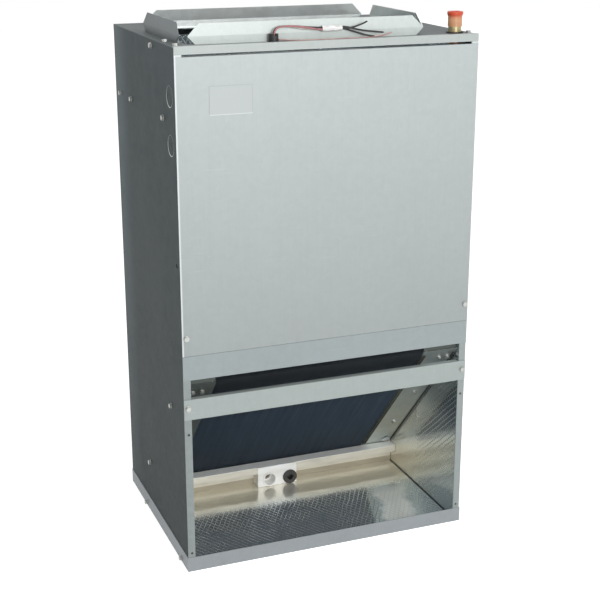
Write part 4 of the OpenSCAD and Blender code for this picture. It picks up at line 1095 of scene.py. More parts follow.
class Shaper:
    """Makes meshes from whole arrays. A shape is its vertices, its faces and its UV pairs in metres, or None."""

    # Radius of the tiny ring that closes a tube
    TIP = 1e-6

    @classmethod
    def piece(cls, name: str, shape: Mesh, finish: Surface, slot: str, body: str = "casing", smooth: bool = True,
              turn_out: bool = True) -> bpy.types.Object:
        """Put a shape into a mesh object that rides on a body.

        Args:
            name: The piece's name.
            shape: Its vertices, its faces of four and its UV pairs, one a face corner.
            finish: The piece's finish.
            slot: The record's material slot; not used.
            body: The body that it rides on.
            smooth: Whether the faces are shaded smooth.
            turn_out: Whether the faces still have to be turned outwards.

        Returns:
            The new object.
        """
        points, faces, uv = shape
        mesh = bpy.data.meshes.new(name)
        mesh.vertices.add(len(points))
        mesh.vertices.foreach_set("co", np.ascontiguousarray(points, dtype=np.float32).ravel())
        mesh.loops.add(faces.size)
        mesh.loops.foreach_set("vertex_index", np.ascontiguousarray(faces, dtype=np.int32).ravel())
        mesh.polygons.add(len(faces))
        mesh.polygons.foreach_set("loop_start", np.arange(0, faces.size, faces.shape[1], dtype=np.int32))
        mesh.polygons.foreach_set("use_smooth", np.full(len(faces), smooth))
        if uv is not None:
            layer = mesh.uv_layers.new(name=SHEET_MAP)
            layer.data.foreach_set("uv", np.ascontiguousarray(uv, dtype=np.float32).ravel())
        mesh.update(calc_edges=True)
        mesh.validate()
        mesh.materials.append(finish.material())
        made = in_scene(name, mesh)
        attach(made, body)
        if turn_out:
            cls.outward(made)
        LOG.info("%s: %d faces", name, len(faces))
        return made

    @staticmethod
    def outward(piece: bpy.types.Object) -> None:
        """Turn every face of a closed mesh outwards.

        Args:
            piece: The mesh's object.
        """
        work = bmesh.new()
        work.from_mesh(piece.data)
        bmesh.ops.remove_doubles(work, verts=work.verts, dist=1e-7)
        bmesh.ops.recalc_face_normals(work, faces=work.faces)
        work.to_mesh(piece.data)
        work.free()

    @staticmethod
    def joined(shapes: list[Mesh]) -> Mesh:
        """Return several shapes as one, each face's numbers counted on from the shape before.

        Args:
            shapes: The shapes, all with UV pairs or all without.

        Returns:
            The joined shape.
        """
        starts = np.cumsum([0] + [len(points) for points, _, _ in shapes])
        faces = [faces + start for (_, faces, _), start in zip(shapes, starts)]
        uv = None if shapes[0][2] is None else np.concatenate([uv for _, _, uv in shapes])
        return np.concatenate([points for points, _, _ in shapes]), np.concatenate(faces), uv

    @staticmethod
    def grid_faces(rows: int, columns: int, wrap: bool = False, close: bool = False) -> np.ndarray:
        """Return the quads of a grid of rows by columns points, counted row by row.

        Args:
            rows: Points along the first direction.
            columns: Points along the second direction.
            wrap: Whether the last column joins the first.
            close: Whether the last row joins the first.

        Returns:
            Vertex numbers, one row of four a face.
        """
        i, j = np.meshgrid(np.arange(rows if close else rows - 1), np.arange(columns if wrap else columns - 1),
                           indexing="ij")
        n, k = (i + 1) % rows, (j + 1) % columns
        return np.stack([i * columns + j, i * columns + k, n * columns + k, n * columns + j], axis=-1).reshape(-1, 4)

    @staticmethod
    def unrolled(faces: np.ndarray, columns: int, run: np.ndarray, girth: float) -> np.ndarray:
        """Return the UV pairs of a grid's faces: the length run along the rows, and the way round the columns.

        Args:
            faces: The grid's faces, as grid_faces gives them.
            columns: Points round the second direction.
            run: The length at each row, with one more where the rows close.
            girth: The length once round the columns.

        Returns:
            One pair a face corner, in metres.
        """
        row, column = np.divmod(faces[:, :1], columns)
        ahead, side = row + np.array([0, 0, 1, 1]), column + np.array([0, 1, 1, 0])
        return np.stack([run[ahead], side * girth / columns], axis=-1).reshape(-1, 2)

    @staticmethod
    def run(path: np.ndarray) -> np.ndarray:
        """Return the length of a path up to each of its points."""
        return np.concatenate([[0.0], np.cumsum(np.linalg.norm(np.diff(path, axis=0), axis=1))])

    @staticmethod
    def circle(count: int) -> np.ndarray:
        """Return evenly spaced angles once round, in radians."""
        return np.linspace(0.0, 2.0 * math.pi, count, endpoint=False)

    @staticmethod
    def frames(path: np.ndarray) -> tuple[np.ndarray, np.ndarray]:
        """Return two directions square to a path at each point, without twist.

        The first side is carried along the path: at each point, the part along the new direction is taken off it.

        Args:
            path: Points along the path, n by 3.

        Returns:
            First sides and second sides, each n by 3.
        """
        step = np.gradient(path, axis=0)
        along = step / np.linalg.norm(step, axis=1, keepdims=True)
        start = np.cross(along[0], (0.0, 1.0, 0.0) if abs(along[0][1]) < 0.9 else (1.0, 0.0, 0.0))
        sides = [start / np.linalg.norm(start)]
        for direction in along[1:]:
            carried = sides[-1] - direction * np.dot(direction, sides[-1])
            sides.append(carried / np.linalg.norm(carried))
        first = np.array(sides)
        return first, np.cross(along, first)

    @classmethod
    def tube(cls, path: np.ndarray, radius: np.ndarray | float, sides: int) -> Mesh:
        """Carry a circle along a path and close both ends with a small cone.

        Each ring is centre + radius * (cos a * first side + sin a * second side); the end rings shrink to a point.

        Args:
            path: Points along the centreline, n by 3.
            radius: One radius, or one a point.
            sides: Points round the circle.

        Returns:
            Vertices, faces and UV pairs in metres along and round the tube.
        """
        centre, first, second = (np.concatenate([rows[:1], rows, rows[-1:]]) for rows in (path, *cls.frames(path)))
        size = np.concatenate([[cls.TIP], np.broadcast_to(np.asarray(radius, float), (len(path),)), [cls.TIP]])
        angle = cls.circle(sides)
        ring = np.cos(angle)[None, :, None] * first[:, None] + np.sin(angle)[None, :, None] * second[:, None]
        points = centre[:, None] + size[:, None, None] * ring
        faces = cls.grid_faces(len(centre), sides, wrap=True)
        girth = 2.0 * math.pi * float(np.median(size))
        return points.reshape(-1, 3), faces, cls.unrolled(faces, sides, cls.run(centre), girth)

    @classmethod
    def smooth_path(cls, points: np.ndarray, count: int) -> np.ndarray:
        """Return a smooth path through points, by Catmull-Rom pieces taken at equal shares of the length.

        Args:
            points: The points to pass, n by 3.
            count: How many points to return.

        Returns:
            The path, count by 3.
        """
        ends = np.concatenate([[2 * points[0] - points[1]], points, [2 * points[-1] - points[-2]]])
        chord = cls.run(points)
        want = np.linspace(0.0, chord[-1], count)
        at = np.clip(np.searchsorted(chord, want, side="right") - 1, 0, len(points) - 2)
        t = ((want - chord[at]) / (chord[at + 1] - chord[at]))[:, None]
        a, b, c, d = (ends[at + k] for k in range(4))
        return 0.5 * (2 * b + (c - a) * t + (2 * a - 5 * b + 4 * c - d) * t ** 2 + (3 * b - a - 3 * c + d) * t ** 3)


# ---------------------------------------------------------------- camera and leads


@dataclass
class Viewpoint:
    """The photograph's viewing angle, for a square picture of 600 pixels.

    Attributes:
        place: Where the camera stands.
        yaw: Turn from straight back towards +X, in degrees.
        pitch: Downward tilt, in degrees.
        lens: Focal length for the sensor, in millimetres.
        sensor: Width of the sensor, in millimetres.
        reach: How far the camera sees.
    """

    place: Point = (-0.8194, -2.1446, 1.1524)
    yaw: float = 21.38
    pitch: float = 17.79
    lens: float = 76.7
    sensor: float = 36.0
    reach: float = 60.0

    def build(self) -> None:
        """Create the camera and make it the scene's."""
        data = bpy.data.cameras.new("viewpoint")
        data.lens, data.sensor_width, data.clip_end = self.lens, self.sensor, self.reach
        camera = in_scene("viewpoint", data)
        camera.location = self.place
        camera.rotation_euler = (math.radians(90.0 - self.pitch), 0.0, math.radians(-self.yaw))
        bpy.context.scene.camera = camera


@dataclass
class Lead:
    """One insulated lead along a route.

    Attributes:
        name: The piece's name.
        route: Points of the centreline, in millimetres, as in the part's source.
        diameter: Outer diameter, in metres.
        finish: Its insulation.
        slot: The record's material slot.
        node: The CAD node that it replaces with the others of its kind.
        sleeved: Whether the sleeve is on it; not used.
        far_end: What is on its free end; not used.
    """

    name: str
    route: list[list[float]]
    diameter: float
    finish: Surface
    slot: str
    node: str
    sleeved: bool = False
    far_end: str = "bare"


@dataclass
class LeadBundle:
    """The power and control leads on the top panel, with their sleeve.

    Attributes:
        power_d: Outer diameter of a power lead.
        control_d: Outer diameter of a control lead.
        sides: Points round a lead.
        rings: Points along a lead.
        sleeve_from: Left end of the sleeve's axis.
        sleeve_length: The sleeve's length.
        sleeve_r: Outer radius of the sleeve.
        bore_r: Its inner radius.
        ripple: How deep its ripples are.
        ripple_run: Length of a ripple.
        pinch: How deep it is pinched where its collar starts.
        pinch_run: Distance of that place from its right end.
        pinch_width: Half the width of the pinch.
    """

    power_d: float = 0.0028
    control_d: float = 0.0018
    sides: int = 14
    rings: int = 72
    sleeve_from: Point = (-0.0120, -0.1796, 0.9366)
    sleeve_length: float = 0.035
    sleeve_r: float = 0.0050
    bore_r: float = 0.0037
    ripple: float = 0.00025
    ripple_run: float = 0.007
    pinch: float = 0.0009
    pinch_run: float = 0.0052
    pinch_width: float = 0.0008

    def leads(self) -> list[Lead]:
        """Lay out the five leads.

        Returns:
            The leads, with the routes of the part's source.
        """
        black = [[-97, -183, 929], [-97, -183, 933], [-95, -183, 938], [-90, -182.5, 941.5], [-82, -182, 943],
                 [-60, -181, 942.5], [-36, -180, 940], [-20, -179.7, 938.7], [-12, -179.6, 938.6], [6, -179.6, 938.6],
                 [23, -179.6, 938.6], [34, -180, 937.5], [48, -181, 934], [64, -182, 931], [80, -183, 929],
                 [97, -184, 927]]
        red = [[-97, -186.3, 929], [-97, -186.3, 933], [-95, -186.3, 938], [-90, -186, 941.5], [-82, -185.6, 943],
               [-60, -184.6, 942.5], [-36, -183, 939], [-20, -181.4, 935.8], [-12, -181.3, 935.6], [6, -181.3, 935.6],
               [23, -181.3, 935.6], [34, -183.1, 936], [44, -184.6, 938.2], [53, -185.4, 941], [60, -186.4, 943.6],
               [66, -187, 946.4]]
        white = [[-97, -179.7, 929], [-97, -179.7, 933], [-95, -179.7, 938], [-90, -179.4, 941.5], [-82, -179, 943],
                 [-60, -177.8, 940], [-36, -177.6, 936.6], [-20, -177.9, 935.7], [-12, -177.9, 935.6],
                 [6, -177.9, 935.6], [23, -177.9, 935.6], [34, -178.4, 933.6], [48, -180.4, 929.2],
                 [60, -182.4, 925.6], [70, -183.8, 923], [80, -185, 921.2]]
        pink = [[-89.4, -185.6, 922], [-84, -185.6, 922], [-76, -186, 921.4], [-64, -186.8, 920.4],
                [-46, -187.8, 920], [-28, -188.6, 920], [-10, -188.8, 920], [8, -188, 920], [26, -187, 920],
                [44, -186.8, 920], [60, -187.4, 920], [74, -188.4, 920.4], [86, -189.4, 921.4], [96, -189.6, 923],
                [104, -189.2, 925], [110, -188.6, 927.4]]
        pale = [[-89.1, -181.4, 922], [-84, -181.4, 922], [-76, -181.6, 921.4], [-64, -182, 920.4],
                [-46, -182.8, 920], [-28, -183.8, 920], [-10, -184.6, 920], [8, -185, 920], [26, -184, 920],
                [42, -182.6, 920], [56, -180.8, 920], [68, -179, 920], [78, -177.8, 920.4], [86, -177.4, 921.2],
                [94, -177.6, 922.4], [101, -178.2, 924]]
        power = (self.power_d, "lead_black", "power_leads")
        control = (self.control_d, "lead_pale", "control_leads")
        return [Lead(name, route, diameter, finish, slot, node, sleeved=name == "black_power_lead")
                for name, route, finish, (diameter, slot, node) in (
                    ("black_power_lead", black, Surface.BLACK_LEAD, power),
                    ("red_power_lead", red, Surface.RED_LEAD, power),
                    ("white_power_lead", white, Surface.DRAWN_LEAD, power),
                    ("pink_control_lead", pink, Surface.PINK_LEAD, control),
                    ("white_control_lead", pale, Surface.WHITE_LEAD, control))]

    def sleeve(self) -> bpy.types.Object:
        """Make the woven sleeve with a pinched collar near its right end.

        A closed profile of places x along the axis and radii r is turned about it: y = r cos a, z = r sin a. The outer
        radius is full, less ripple * sin squared of x over the ripple's length, and dips where the collar starts.

        Returns:
            The sleeve.
        """
        x = np.linspace(0.0, self.sleeve_length, 42)
        outer = self.sleeve_r - self.ripple * np.sin(math.pi * x / self.ripple_run) ** 2
        outer -= self.pinch * np.exp(-((x - self.sleeve_length + self.pinch_run) / self.pinch_width) ** 2)
        profile = np.concatenate([np.stack([x, outer], axis=-1),
                                  np.stack([x[::-1], np.full_like(x, self.bore_r)], axis=-1)])
        turn = Shaper.circle(SECTION_POINTS)
        place, radius = profile[:, :1], profile[:, 1:]
        points = np.stack([self.sleeve_from[0] + place + 0.0 * turn, self.sleeve_from[1] + radius * np.cos(turn),
                           self.sleeve_from[2] + radius * np.sin(turn)], axis=-1)
        faces = Shaper.grid_faces(len(profile), len(turn), wrap=True, close=True)
        run = Shaper.run(profile)
        run = np.append(run, run[-1] + self.sleeve_r - self.bore_r)
        uv = Shaper.unrolled(faces, len(turn), run, 2.0 * math.pi * self.sleeve_r)
        piece = Shaper.piece("woven_sleeve", (points.reshape(-1, 3), faces, uv), Surface.SLEEVE, "sleeve_white")
        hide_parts("lead_sleeve")
        return piece

    def build(self) -> None:
        made = []
        sleeve = self.sleeve()
        for lead in self.leads():
            path = Shaper.smooth_path(np.array(lead.route, float) / PER_METRE, self.rings)
            piece = Shaper.piece(lead.name, Shaper.tube(path, lead.diameter / 2, self.sides), lead.finish, lead.slot,
                                 turn_out=False)
            tuple(path[0])
            float(Shaper.run(path)[-1])
            [tuple(p) for p in path]
            made.append((piece, lead.node))
        for piece, node in made:
            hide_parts(node)


# ---------------------------------------------------------------- linings


@dataclass
class LiningBoard:
    """A foil-faced board that fills a lining node's box: a soft face towards the air, flat against the sheet.

    Attributes:
        node: The CAD node that it replaces.
        face: Index of the axis that the board is thin along.
        inward: +1 or -1, the side of that axis that the foil faces.
        body: The body that it rides on.
        sag: How deep the foil's hollows are, in metres.
        seed: Start of the random hollows.
        waves: How many slow waves make the hollows.
        wave_length: Shortest and longest wave.
        finish: The foil.
        rim: Width of the border over which the hollows ease in.
        mesh: Distance between two points of its grid.
        apart: How far apart its boards lie on the UV map.
        crease: Angle over which an edge is crisp, in degrees.
    """

    node: str
    face: int
    inward: int
    body: str = "casing"
    sag: float = 0.0004
    seed: int = 1
    waves: int = 8
    wave_length: Pair = (0.07, 0.26)
    finish: Surface = Surface.FOIL
    rim: float = 0.02
    mesh: float = 0.012
    apart: float = 0.31
    crease: float = 40.0

    def hollows(self, u: np.ndarray, v: np.ndarray) -> np.ndarray:
        """Return how deep the foil lies under the board's face at each point, from 0 to 1.

        It is the sum of slow waves of random direction, length and phase, eased to 0 at the board's edges.

        Args:
            u: Place along the first edge, in metres from its start.
            v: Place along the second edge.

        Returns:
            The depths, as an array like u.
        """
        dice = np.random.default_rng(self.seed)
        total = np.zeros_like(u)
        for _ in range(self.waves):
            angle, length = dice.uniform(0, math.pi), dice.uniform(*self.wave_length)
            phase = dice.uniform(0, 2 * math.pi)
            total += np.sin(2 * math.pi * (u * math.cos(angle) + v * math.sin(angle)) / length + phase)
        depth = 0.5 + total / (self.waves + 1)
        rim = np.minimum(np.minimum(u, u.max() - u), np.minimum(v, v.max() - v))
        return np.clip(depth, 0.0, 1.0) * np.clip(rim / self.rim, 0.0, 1.0)

    def board(self, low: np.ndarray, high: np.ndarray) -> tuple[np.ndarray, np.ndarray, np.ndarray, np.ndarray]:
        """Return a closed board between two corners.

        The foil side is a grid with a point every 12 mm or so, drawn in by the hollows. The board's rim and back
        are the same grid's edge carried to the other side, closed by a grid that lies flat.

        Args:
            low: The lowest corner.
            high: The highest corner.

        Returns:
            Vertices, faces, UV pairs in metres, and each face's finish: 0 for foil, 1 for the raw edges and back.
        """
        first, second = [a for a in range(3) if a != self.face]
        size = high - low
        rows, columns = (max(3, int(size[a] / self.mesh) + 1) for a in (first, second))
        u, v = np.meshgrid(np.linspace(0, size[first], rows), np.linspace(0, size[second], columns), indexing="ij")
        front = np.zeros((rows, columns, 3))
        front[..., first], front[..., second] = low[first] + u, low[second] + v
        back = front.copy()
        face_at, back_at = (high, low) if self.inward > 0 else (low, high)
        front[..., self.face] = face_at[self.face] - self.inward * self.sag * self.hollows(u, v)
        back[..., self.face] = back_at[self.face]
        count = rows * columns
        quads = Shaper.grid_faces(rows, columns)
        rim = np.concatenate([np.arange(columns), np.arange(1, rows) * columns + columns - 1,
                              (rows - 1) * columns + np.arange(columns - 2, -1, -1),
                              np.arange(rows - 2, 0, -1) * columns])
        after = np.roll(rim, -1)
        walls = np.stack([rim, rim + count, after + count, after], axis=-1)
        faces = np.concatenate([quads, quads[:, ::-1] + count, walls])
        points = np.concatenate([front.reshape(-1, 3), back.reshape(-1, 3)])
        flat = np.stack([u.ravel(), v.ravel()], axis=-1)
        pairs = np.concatenate([flat, flat])[faces]
        raw = (np.arange(len(faces)) >= len(quads)).astype(np.int32)
        return points, faces, pairs.reshape(-1, 2), raw

    def build(self, *boxes: tuple[Sequence[float], Sequence[float]]) -> None:
        """Make the board, or one board a given box, and hide the CAD node.

        Args:
            *boxes: Lowest and highest corners, for a lining in several boards; the node's own box if none.
        """
        boards = [self.board(np.array(low), np.array(high)) for low, high in boxes or [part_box(self.node)]]
        shape = Shaper.joined([(points, faces, uv + (0.0, self.apart * number))
                               for number, (points, faces, uv, _) in enumerate(boards)])
        piece = Shaper.piece(self.node + "_foil", shape, self.finish, "foil_lining", self.body, smooth=False,
                             turn_out=False)
        piece.data.materials.append(Surface.BATT.material())
        piece.data.polygons.foreach_set("material_index", np.concatenate([raw for *_, raw in boards]))
        Shaper.outward(piece)
        piece.data.polygons.foreach_set("use_smooth", np.full(len(piece.data.polygons), True))
        crisp = piece.modifiers.new("crisp", "EDGE_SPLIT")
        crisp.split_angle = math.radians(self.crease)
        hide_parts(self.node)


@dataclass
class Linings:
    """All the foil-faced linings of the casing and of the service panel.

    Attributes:
        sheet: Thickness of the casing's sheet.
        depth: Thickness of a wall lining.
        deck: Height of the blower deck's underside.
        seam: Width of the open seam between the floor's board and a side board.
        floor_sag: How deep the floor foil's hollows are.
    """

    sheet: float = 0.0012
    depth: float = 0.012
    deck: float = 0.790
    seam: float = 0.0013
    floor_sag: float = 0.0005

    def build(self) -> None:
        """Make the floor, side, back and panel linings. The wall linings are split at the blower deck."""
        low, high = (np.array(corner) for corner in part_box("floor_lining"))
        inset = np.array([self.depth + self.sheet + self.seam, 0.0, 0.0])
        LiningBoard("floor_lining", 2, +1, sag=self.floor_sag, seed=11, finish=Surface.FLOOR_FOIL).build(
            (low + inset, high - inset))
        above = self.deck + self.sheet
        for node, inward, seed in (("left_lining", +1, 5), ("right_lining", -1, 23)):
            low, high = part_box(node)
            wall_x = low[0] if inward > 0 else high[0]
            near, far = sorted((wall_x, wall_x + inward * self.depth))
            shift = inward * self.sheet
            LiningBoard(node, 0, inward, seed=seed, finish=Surface.WALL_FOIL).build(
                ([near, low[1], low[2]], [far, high[1], self.deck]),
                ([near + shift, low[1] + self.depth, above], [far + shift, high[1], high[2]]))
        low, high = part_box("back_lining")
        LiningBoard("back_lining", 1, -1, seed=31).build(
            (low, [high[0], high[1], self.deck]), ([low[0], low[1], above], high))
        LiningBoard("panel_lining", 1, +1, "service_cover", seed=41).build()


# ---------------------------------------------------------------- coil


@dataclass
class CoilSlope:
    """The coil's slanted lower face, seen from the side.

    Attributes:
        slope: The coil's slope from the horizontal, in degrees.
        front: y of the coil's top corner.
        top: z of the coil's top corner.
    """

    slope: float = 47.5
    front: float = -0.189
    top: float = 0.35014

    def along(self, run: float | np.ndarray, lift: float | np.ndarray) -> list[float | np.ndarray]:
        """Return y and z of a place, or of an array of places, on the slope.

        Args:
            run: Distance down the slope.
            lift: Distance above the lower face.

        Returns:
            y and z, each like run.
        """
        angle = math.radians(self.slope)
        return [self.front + run * math.cos(angle) + lift * math.sin(angle),
                self.top - run * math.sin(angle) + lift * math.cos(angle)]


@dataclass
class FinPack(CoilSlope):
    """The coil's fins, as thin sheets across the slope with the tubes' holes left to the tubes.

    Attributes:
        pitch: Distance between two fins.
        thick: Thickness of a fin.
        length: The coil's length along its slope.
        depth: The coil's thickness across its slope.
        scallop: How deep the face is drawn in at a tube.
        tube_pitch: Distance between two tubes along the slope.
        outline_points: Points of the outline on each face.
        uneven: How far a fin may stand from its even place.
        seed: Start of the random places.
    """

    pitch: float = 0.0018
    thick: float = 0.00018
    length: float = 0.441
    depth: float = 0.044
    scallop: float = 0.0008
    tube_pitch: float = 0.0266
    outline_points: int = 34
    uneven: float = 0.00010
    seed: int = 7

    def outline(self) -> np.ndarray:
        """Return a fin's outline as [y, z] points, with a shallow scallop at every tube on both faces.

        Along the slope the face is drawn in by scallop * sin squared of the place over the tube spacing.

        Returns:
            The outline's points in order, m by 2.
        """
        run = np.linspace(0.0, self.length, self.outline_points)
        dip = self.scallop * np.sin(math.pi * run / self.tube_pitch) ** 2
        return np.stack(self.along(np.concatenate([run, run[::-1]]), np.concatenate([dip, (self.depth - dip)[::-1]])),
                        axis=-1)

    def build(self) -> None:
        """Make all the fins as one piece: each is its outline at two x values, with quads across it and round it."""
        low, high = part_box("coil_fin_pack")
        count = int((high[0] - low[0]) / self.pitch)
        dice = np.random.default_rng(self.seed)
        x = np.linspace(low[0] + self.thick, high[0] - self.thick, count) + dice.uniform(-1, 1, count) * self.uneven
        x = np.clip(x, low[0] + self.thick, high[0] - self.thick)
        line = self.outline()
        round_it = len(line)
        points = np.zeros((count, 2, round_it, 3))
        points[..., 0] = np.stack([x - self.thick / 2, x + self.thick / 2], axis=-1)[:, :, None]
        points[..., 1:] = line[None, None]
        i = np.arange(round_it // 2 - 1)
        mirror = round_it - 1 - i
        side = np.stack([i, i + 1, mirror - 1, mirror], axis=-1)
        rim = np.arange(round_it)
        edge = np.stack([rim, rim + round_it, np.roll(rim, -1) + round_it, np.roll(rim, -1)], axis=-1)
        one = np.concatenate([side, side[:, ::-1] + round_it, edge])
        faces = (one[None] + (np.arange(count) * 2 * round_it)[:, None, None]).reshape(-1, 4)
        piece = Shaper.piece("coil_fins", (points.reshape(-1, 3), faces, None), Surface.FINS, "fin_aluminium",
                             smooth=False)
        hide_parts("coil_fin_pack")


@dataclass
class ChannelTrim(CoilSlope):
    """The coil channels' turned-up heads, two dark strips on the right channel and the clip at the pan's end: a narrow
    foam strip at the wall joint and a wide strip along the coil's edge that is a painted shadow.

    Attributes:
        skin: How far the channel's visible face lies under the coil's face.
        head: Lowest and highest z of a turned-up head.
        head_y: y of its middle.
        head_thick: Its thickness.
        head_inset: How far it stays inside the channel's sides.
        foam_and_shadow_strips: The side of the channel, 0 left or 1 right, that each strip is placed from, its
            middle's distance from that side, its width and its thickness.
        strip_run: Where the strips start and end down the slope.
        clip_x: Distance of the clip's middle from the channel's right side.
        clip_run: Its distance down the slope.
        clip_lift: Its height over the channel's face.
        clip_size: Length of its sides.
        clip_thick: Its thickness.
    """

    skin: float = 0.0012
    head: Pair = (0.3490, 0.3660)
    head_y: float = -0.1876
    head_thick: float = 0.0009
    head_inset: float = 0.001
    foam_and_shadow_strips: tuple[tuple[int, float, float, float], ...] = ((1, -0.0028, 0.0026, 0.0016), (0, 0.0046, 0.0090, 0.0012))
    strip_run: Pair = (0.012, 0.396)
    clip_x: float = 0.0165
    clip_run: float = 0.387
    clip_lift: float = 0.0022
    clip_size: float = 0.0150
    clip_thick: float = 0.0012

    def on_face(self, x: float, run: float, lift: float) -> np.ndarray:
        """Return a point on the channel's visible face, a distance down the slope and lifted off it."""
        return np.array([x, *self.along(run, -self.skin - lift)])

    @staticmethod
    def strip(start: np.ndarray, end: np.ndarray, side: np.ndarray, width: float, thick: float) -> Mesh:
        """Carry a section with rounded edges along a straight line and close both ends.

        The section is (width / 2 * r cos a, thick / 2 * r sin a) with r = (cos^8 a + sin^8 a) to the power -1/8.

        Args:
            start: Where the strip starts.
            end: Where it ends.
            side: The direction of its width.
            width: Its width.
            thick: Its thickness.

        Returns:
            Vertices, faces and UV pairs.
        """
        run = end - start
        normal = np.cross(run / np.linalg.norm(run), side)
        share = np.array([0.0, 0.0, 0.003, 0.25, 0.5, 0.75, 0.997, 1.0, 1.0])
        size = np.array([1e-4, 0.96, 1.0, 1.0, 1.0, 1.0, 1.0, 0.96, 1e-4])
        turn = Shaper.circle(SECTION_POINTS)
        reach = (np.cos(turn) ** 8 + np.sin(turn) ** 8) ** -0.125
        section = (width / 2 * (reach * np.cos(turn))[:, None] * side
                   + thick / 2 * (reach * np.sin(turn))[:, None] * normal)
        points = (start + share[:, None, None] * run + size[:, None, None] * section[None]).reshape(-1, 3)
        faces = Shaper.grid_faces(len(share), len(turn), wrap=True)
        return points, faces, points[faces].reshape(-1, 3)[:, (0, 2)]

    def build(self) -> None:
        """Make the two heads, the foam strip, the painted-shadow strip and the clip."""
        up, across = np.array([0.0, 0.0, 1.0]), np.array([1.0, 0.0, 0.0])
        middle = (self.head[0] + self.head[1]) / 2
        for name, node in (("left_channel_head", "left_coil_channel"), ("right_channel_head", "right_coil_channel")):
            low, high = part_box(node)
            shape = self.strip(np.array([low[0] + self.head_inset, self.head_y, middle]),
                               np.array([high[0] - self.head_inset, self.head_y, middle]), up,
                               self.head[1] - self.head[0], self.head_thick)
            Shaper.piece(name, shape, Surface.SHADED_CHANNEL, "galvanised")
        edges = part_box("right_coil_channel")
        strips = []
        # The first strip is a narrow foam strip at the wall joint; the second, wide one along the coil's edge is a
        # painted shadow.
        for end, inset, width, thick in self.foam_and_shadow_strips:
            ends = (self.on_face(edges[end][0] + inset, run, thick / 2) for run in self.strip_run)
            strips.append(self.strip(*ends, across, width, thick))
        Shaper.piece("channel_foam_and_shadow_strip", Shaper.joined(strips), Surface.FOAM_AND_SHADOW, "black_rubber")
        lean = self.on_face(0.0, 1.0, 0.0) - self.on_face(0.0, 0.0, 0.0)
        corner = self.on_face(edges[1][0] - self.clip_x, self.clip_run, self.clip_lift)
        half = self.clip_size / 2 * (across + lean) / math.sqrt(2.0)
        clip = self.strip(corner - half, corner + half, (across - lean) / math.sqrt(2.0), self.clip_size,
                          self.clip_thick)
        Shaper.piece("pan_clip", clip, Surface.COLLAR, "galvanised")


@dataclass
class Knockouts:
    """The lanced rims of the round knock-outs on the left side, which stand proud at the lower rear; their pale colour
    is a painted highlight, which their width makes strongest there.

    Attributes:
        radius: Radius of a knock-out.
        face: x of the side panel's outer face.
        middle_y: y of their middles.
        middles_z: z of each middle.
        proud: Where round the circle the rim stands highest, in degrees from the rear upwards.
        width: Half the rim's width there.
        least: Half its width opposite.
        relief: Its height over the face, as a share of half its width.
    """

    radius: float = 0.0172
    face: float = -0.2690
    middle_y: float = -0.1670
    middles_z: Pair = (0.8380, 0.7585)
    proud: float = -48.0
    width: float = 0.0011
    least: float = 0.00015
    relief: float = 0.35

    def ring(self, middle_z: float) -> Mesh:
        """Return one rim: a flat ellipse carried round a circle, wider where it stands proud.

        With a round the circle and b round the section, the half width is w = least + (width - least) * (0.5 + 0.5 *
        cos(a - proud)) cubed, and a point lies radius + w * cos b from the middle and relief * w * sin b off the face.

        Args:
            middle_z: z of the circle's middle.

        Returns:
            Vertices, faces and no UV pairs.
        """
        a, b = Shaper.circle(96)[:, None], Shaper.circle(8)[None]
        w = self.least + (self.width - self.least) * (0.5 + 0.5 * np.cos(a - math.radians(self.proud))) ** 3
        out = self.radius + w * np.cos(b)
        points = np.stack([self.face - self.relief * w * np.sin(b), self.middle_y + out * np.cos(a),
                           middle_z + out * np.sin(a)], axis=-1)
        return points.reshape(-1, 3), Shaper.grid_faces(*out.shape, wrap=True, close=True), None

    def build(self) -> None:
        """Make the rims as one piece."""
        rims = Shaper.joined([self.ring(middle_z) for middle_z in self.middles_z])
        Shaper.piece("knockout_rims", rims, Surface.LANCED_HIGHLIGHT, "galvanised_side")


# ---------------------------------------------------------------- heater


